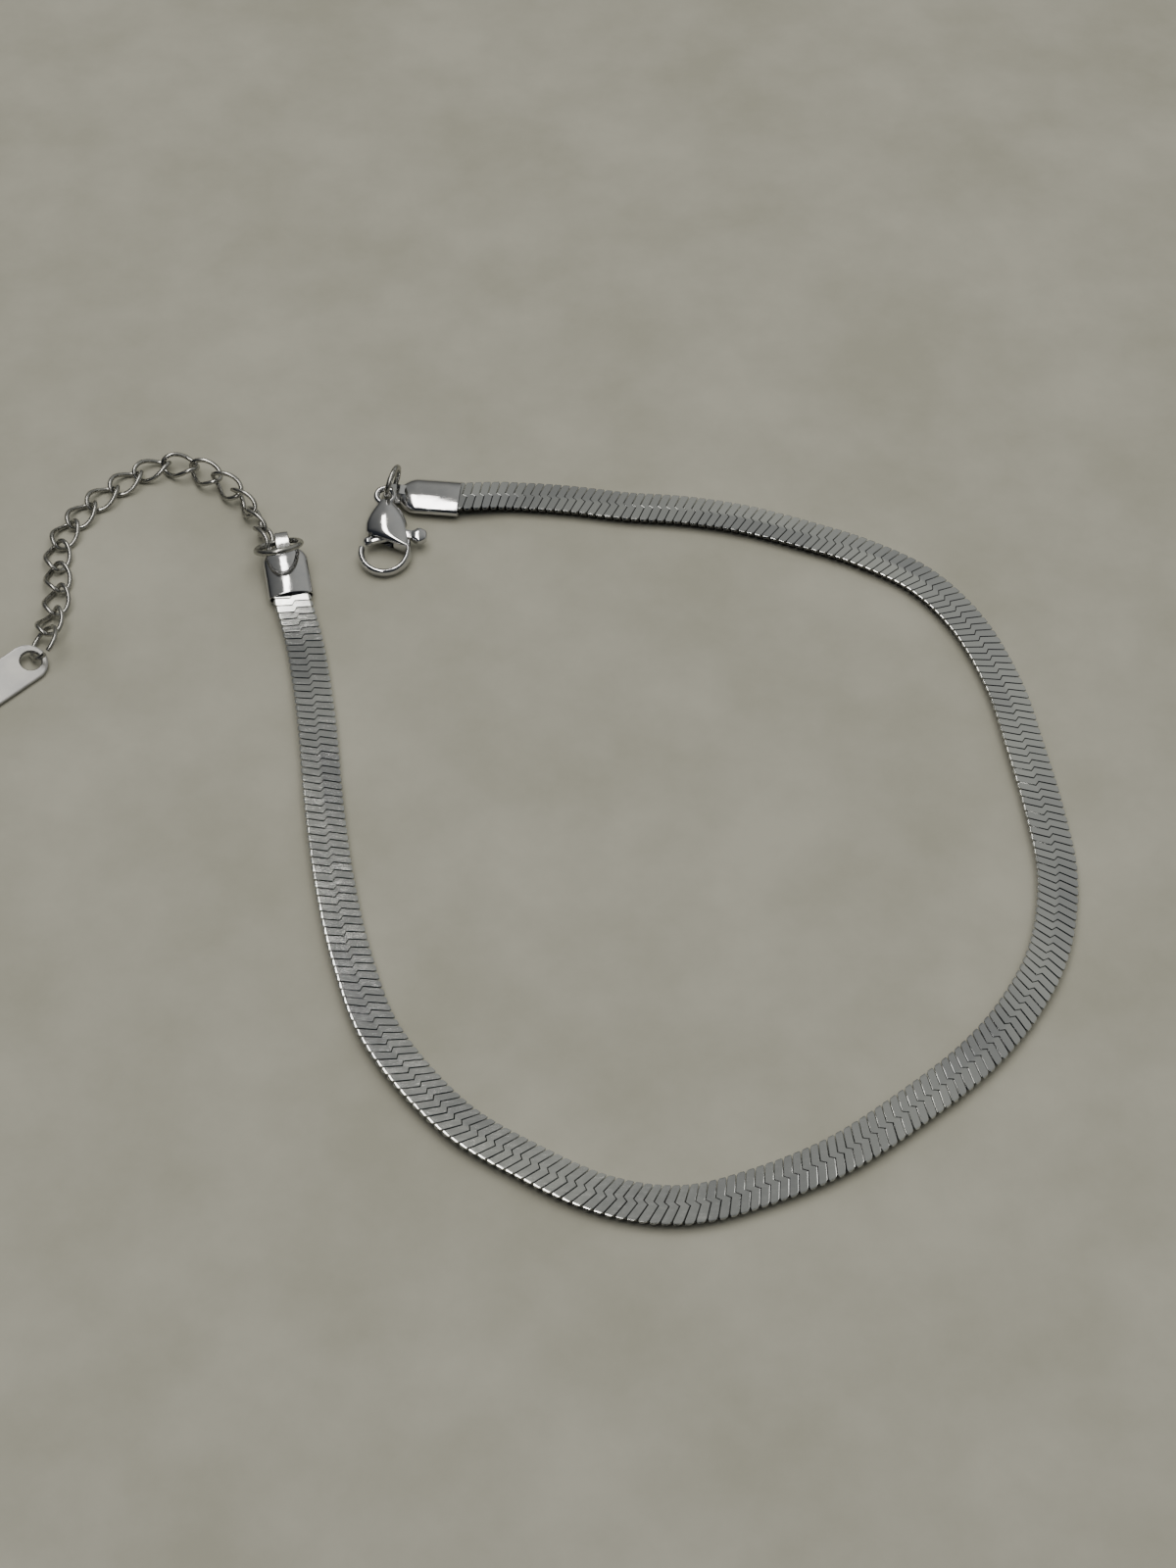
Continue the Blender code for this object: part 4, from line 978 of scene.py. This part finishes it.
def make_tag(ring_middle, finish):
    """A plain bar with round ends and soft edges, and its hole with a broken edge."""
    place = axes_of("end_tag")
    if (place.to_3x3() @ Vector((1, 0, 0))).dot(ring_middle - place.translation) > 0:
        place = place @ Matrix.Rotation(pi, 4, "Z")
    if (place.to_3x3() @ UP).z < 0:
        place = place @ Matrix.Rotation(pi, 4, "X")
    half, radius = TAG_THICKNESS / 2, TAG_WIDTH / 2
    straight = TAG_LENGTH / 2 - radius
    bends = [pi * k / 20 for k in range(21)]
    ends = [Vector((straight + radius * sin(a), -radius * cos(a), 0.0)) for a in bends]
    ends += [Vector((-straight - radius * sin(a), radius * cos(a), 0.0)) for a in bends]
    # Each ring is drawn in from the outline and set to a height: flat face, rounded rim, flat face
    inside = TAG_CHAMFER + 0.12 * MM
    steps = [(inside, -half)]
    for bend in (-1.0, -0.75, -0.5, -0.25, 0.0, 0.25, 0.5, 0.75, 1.0):
        wall = copysign(half - TAG_CHAMFER, bend) if bend else 0.0
        steps.append((TAG_CHAMFER * (1 - sqrt(1 - bend * bend)), wall + TAG_CHAMFER * bend))
    steps.append((inside, half))
    rings = [[draw_in(point, straight, radius, inset) + UP * level for point in ends]
             for inset, level in steps]
    plate = as_object("tag_rough", loft(rings), finish, None)
    hole_x = -(TAG_LENGTH / 2 - TAG_HOLE_TO_END)
    narrow, wide = TAG_HOLE / 2, TAG_HOLE / 2 + 2 * TAG_HOLE_EDGE
    cutter = [circle(reach, 40, (hole_x, 0.0, level)) for reach, level in (
        (wide, -half - TAG_HOLE_EDGE), (narrow, -half + TAG_HOLE_EDGE),
        (narrow, half - TAG_HOLE_EDGE), (wide, half + TAG_HOLE_EDGE))]
    tool = as_object("tag_hole_tool", loft(cutter), finish, None)
    result = combine("tag_plate", plate, ((tool, "DIFFERENCE"),), finish)
    result.data.transform(place)
    result.data.shade_smooth()
    result.data.set_sharp_from_angle(angle=radians(30))
    return result


# Room

def make_floor():
    bm = bmesh.new()
    corners = ((-1, -1), (1, -1), (1, 1), (-1, 1))
    bm.faces.new([bm.verts.new((x * FLOOR_REACH, y * FLOOR_REACH, -FLOOR_DROP)) for x, y in corners])
    floor = as_object("floor", bm, plain_floor(), None)


def lamp(name, middle, aim, size, power, colour, lights_matt, lights_bright):
    light = bpy.data.lights.new(name, "AREA")
    light.shape = "RECTANGLE"
    light.size, light.size_y = size
    light.energy = power
    light.color = linear(colour)[:3]
    thing = bpy.data.objects.new(name, light)
    thing.location = middle
    thing.visible_diffuse = lights_matt
    thing.visible_glossy = lights_bright
    thing.rotation_mode = "QUATERNION"
    thing.rotation_quaternion = (Vector(middle) - Vector(aim)).to_track_quat("Z", "Y")
    bpy.context.scene.collection.objects.link(thing)


def light_room():
    """A dim room, lighter at the back and right, darker on the left, near the ground and behind the
    camera. A long lamp overhead is seen in the steel, and a wide soft box lights the matt floor."""
    world = bpy.data.worlds.new("room")
    bpy.context.scene.world = world
    world.use_nodes = True
    tree = world.node_tree
    way = add_node(tree, "ShaderNodeTexCoord").outputs["Generated"]
    side = add_node(tree, "ShaderNodeVectorMath", {0: way, 1: (0.5, 0.8, 0.45)}, operation="DOT_PRODUCT")
    share = add_node(tree, "ShaderNodeMapRange", {
        "Value": side.outputs["Value"], "From Min": -0.2, "From Max": 0.95})
    walls = add_node(tree, "ShaderNodeMix", {
        "Factor": share, FIRST_COLOUR: linear("#3a3e44"), SECOND_COLOUR: linear("#bbbbb4")}, data_type="RGBA")
    parts = add_node(tree, "ShaderNodeSeparateXYZ", {"Vector": way}).outputs
    across = add_node(tree, "ShaderNodeMapRange", {
        "Value": parts["X"], "From Min": -0.15, "From Max": 0.12, "To Min": 0.68})
    horizon = add_node(tree, "ShaderNodeMapRange", {
        "Value": parts["Z"], "From Min": 0.05, "From Max": 0.5, "To Min": 0.3})
    strength = add_node(tree, "ShaderNodeMath", {0: horizon, 1: across}, operation="MULTIPLY")
    back = tree.nodes["Background"]
    tree.links.new(walls.outputs[MIXED_COLOUR], back.inputs["Color"])
    tree.links.new(strength.outputs[0], back.inputs["Strength"])
    lamp("long_lamp", **LONG_LAMP)
    lamp("soft_box", **SOFT_BOX)


def make_camera():
    view = bpy.data.cameras.new("photo_view")
    view.lens = CAMERA_LENS
    view.sensor_width = 36.0
    view.clip_start, view.clip_end = 0.01, 10.0
    thing = bpy.data.objects.new("photo_view", view)
    thing.location = (LOOP_MIDDLE_MM[0] * MM, LOOP_MIDDLE_MM[1] * MM - CAMERA_BACK, CAMERA_UP)
    thing.rotation_euler = (radians(CAMERA_TILT), 0.0, 0.0)
    bpy.context.scene.collection.objects.link(thing)
    bpy.context.scene.camera = thing


def finish_piece(piece, body, slot, *nodes):
    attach(piece, body)
    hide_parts(*nodes)


def dress():
    plates, bright = pressed_plate_steel(), tumbled_bright_steel()
    wire, sheet = drawn_wire_steel(), stamped_tag_steel()
    finish_piece(make_chain(plates), "anklet", "chain_steel", "herringbone_chain")
    for name, place in zip(("clasp_end_cap", "extender_end_cap"), cap_frames()):
        finish_piece(make_cap(name + "_cup", place, bright), "anklet", "polished_steel", name)
    links = ["extender_link_%02d" % number for number in range(1, 16)]
    finish_piece(make_links(links, wire), "anklet", "wire_steel", *links)
    tag_ring = axes_of("tag_jump_ring").translation
    clasp_ring = axes_of("clasp_jump_ring").translation
    cap_ring_middle = axes_of("extender_jump_ring").translation
    for name, sizes, towards, gap in (
            ("clasp_jump_ring", CLASP_RING, clasp_ring + UP, 0.05 * MM),
            ("extender_jump_ring", EXTENDER_RING, cap_ring_middle + Vector((1.0, 0.2, 0.3)), 0.06 * MM),
            ("tag_jump_ring", TAG_RING, tag_ring + Vector((0.6, -1.0, 0.0)), 0.5 * MM)):
        finish_piece(make_ring(name + "_wire", name, sizes, towards, gap, wire), "anklet", "wire_steel", name)
    place = clasp_place()
    finish_piece(make_clasp_body(place, bright), "anklet", "polished_steel", "clasp_body")
    finish_piece(make_trigger(place, bright), "trigger", "polished_steel", "clasp_trigger")
    finish_piece(make_tag(tag_ring, sheet), "anklet", "tag_steel", "end_tag")


make_camera()
dress()
make_floor()
light_room()
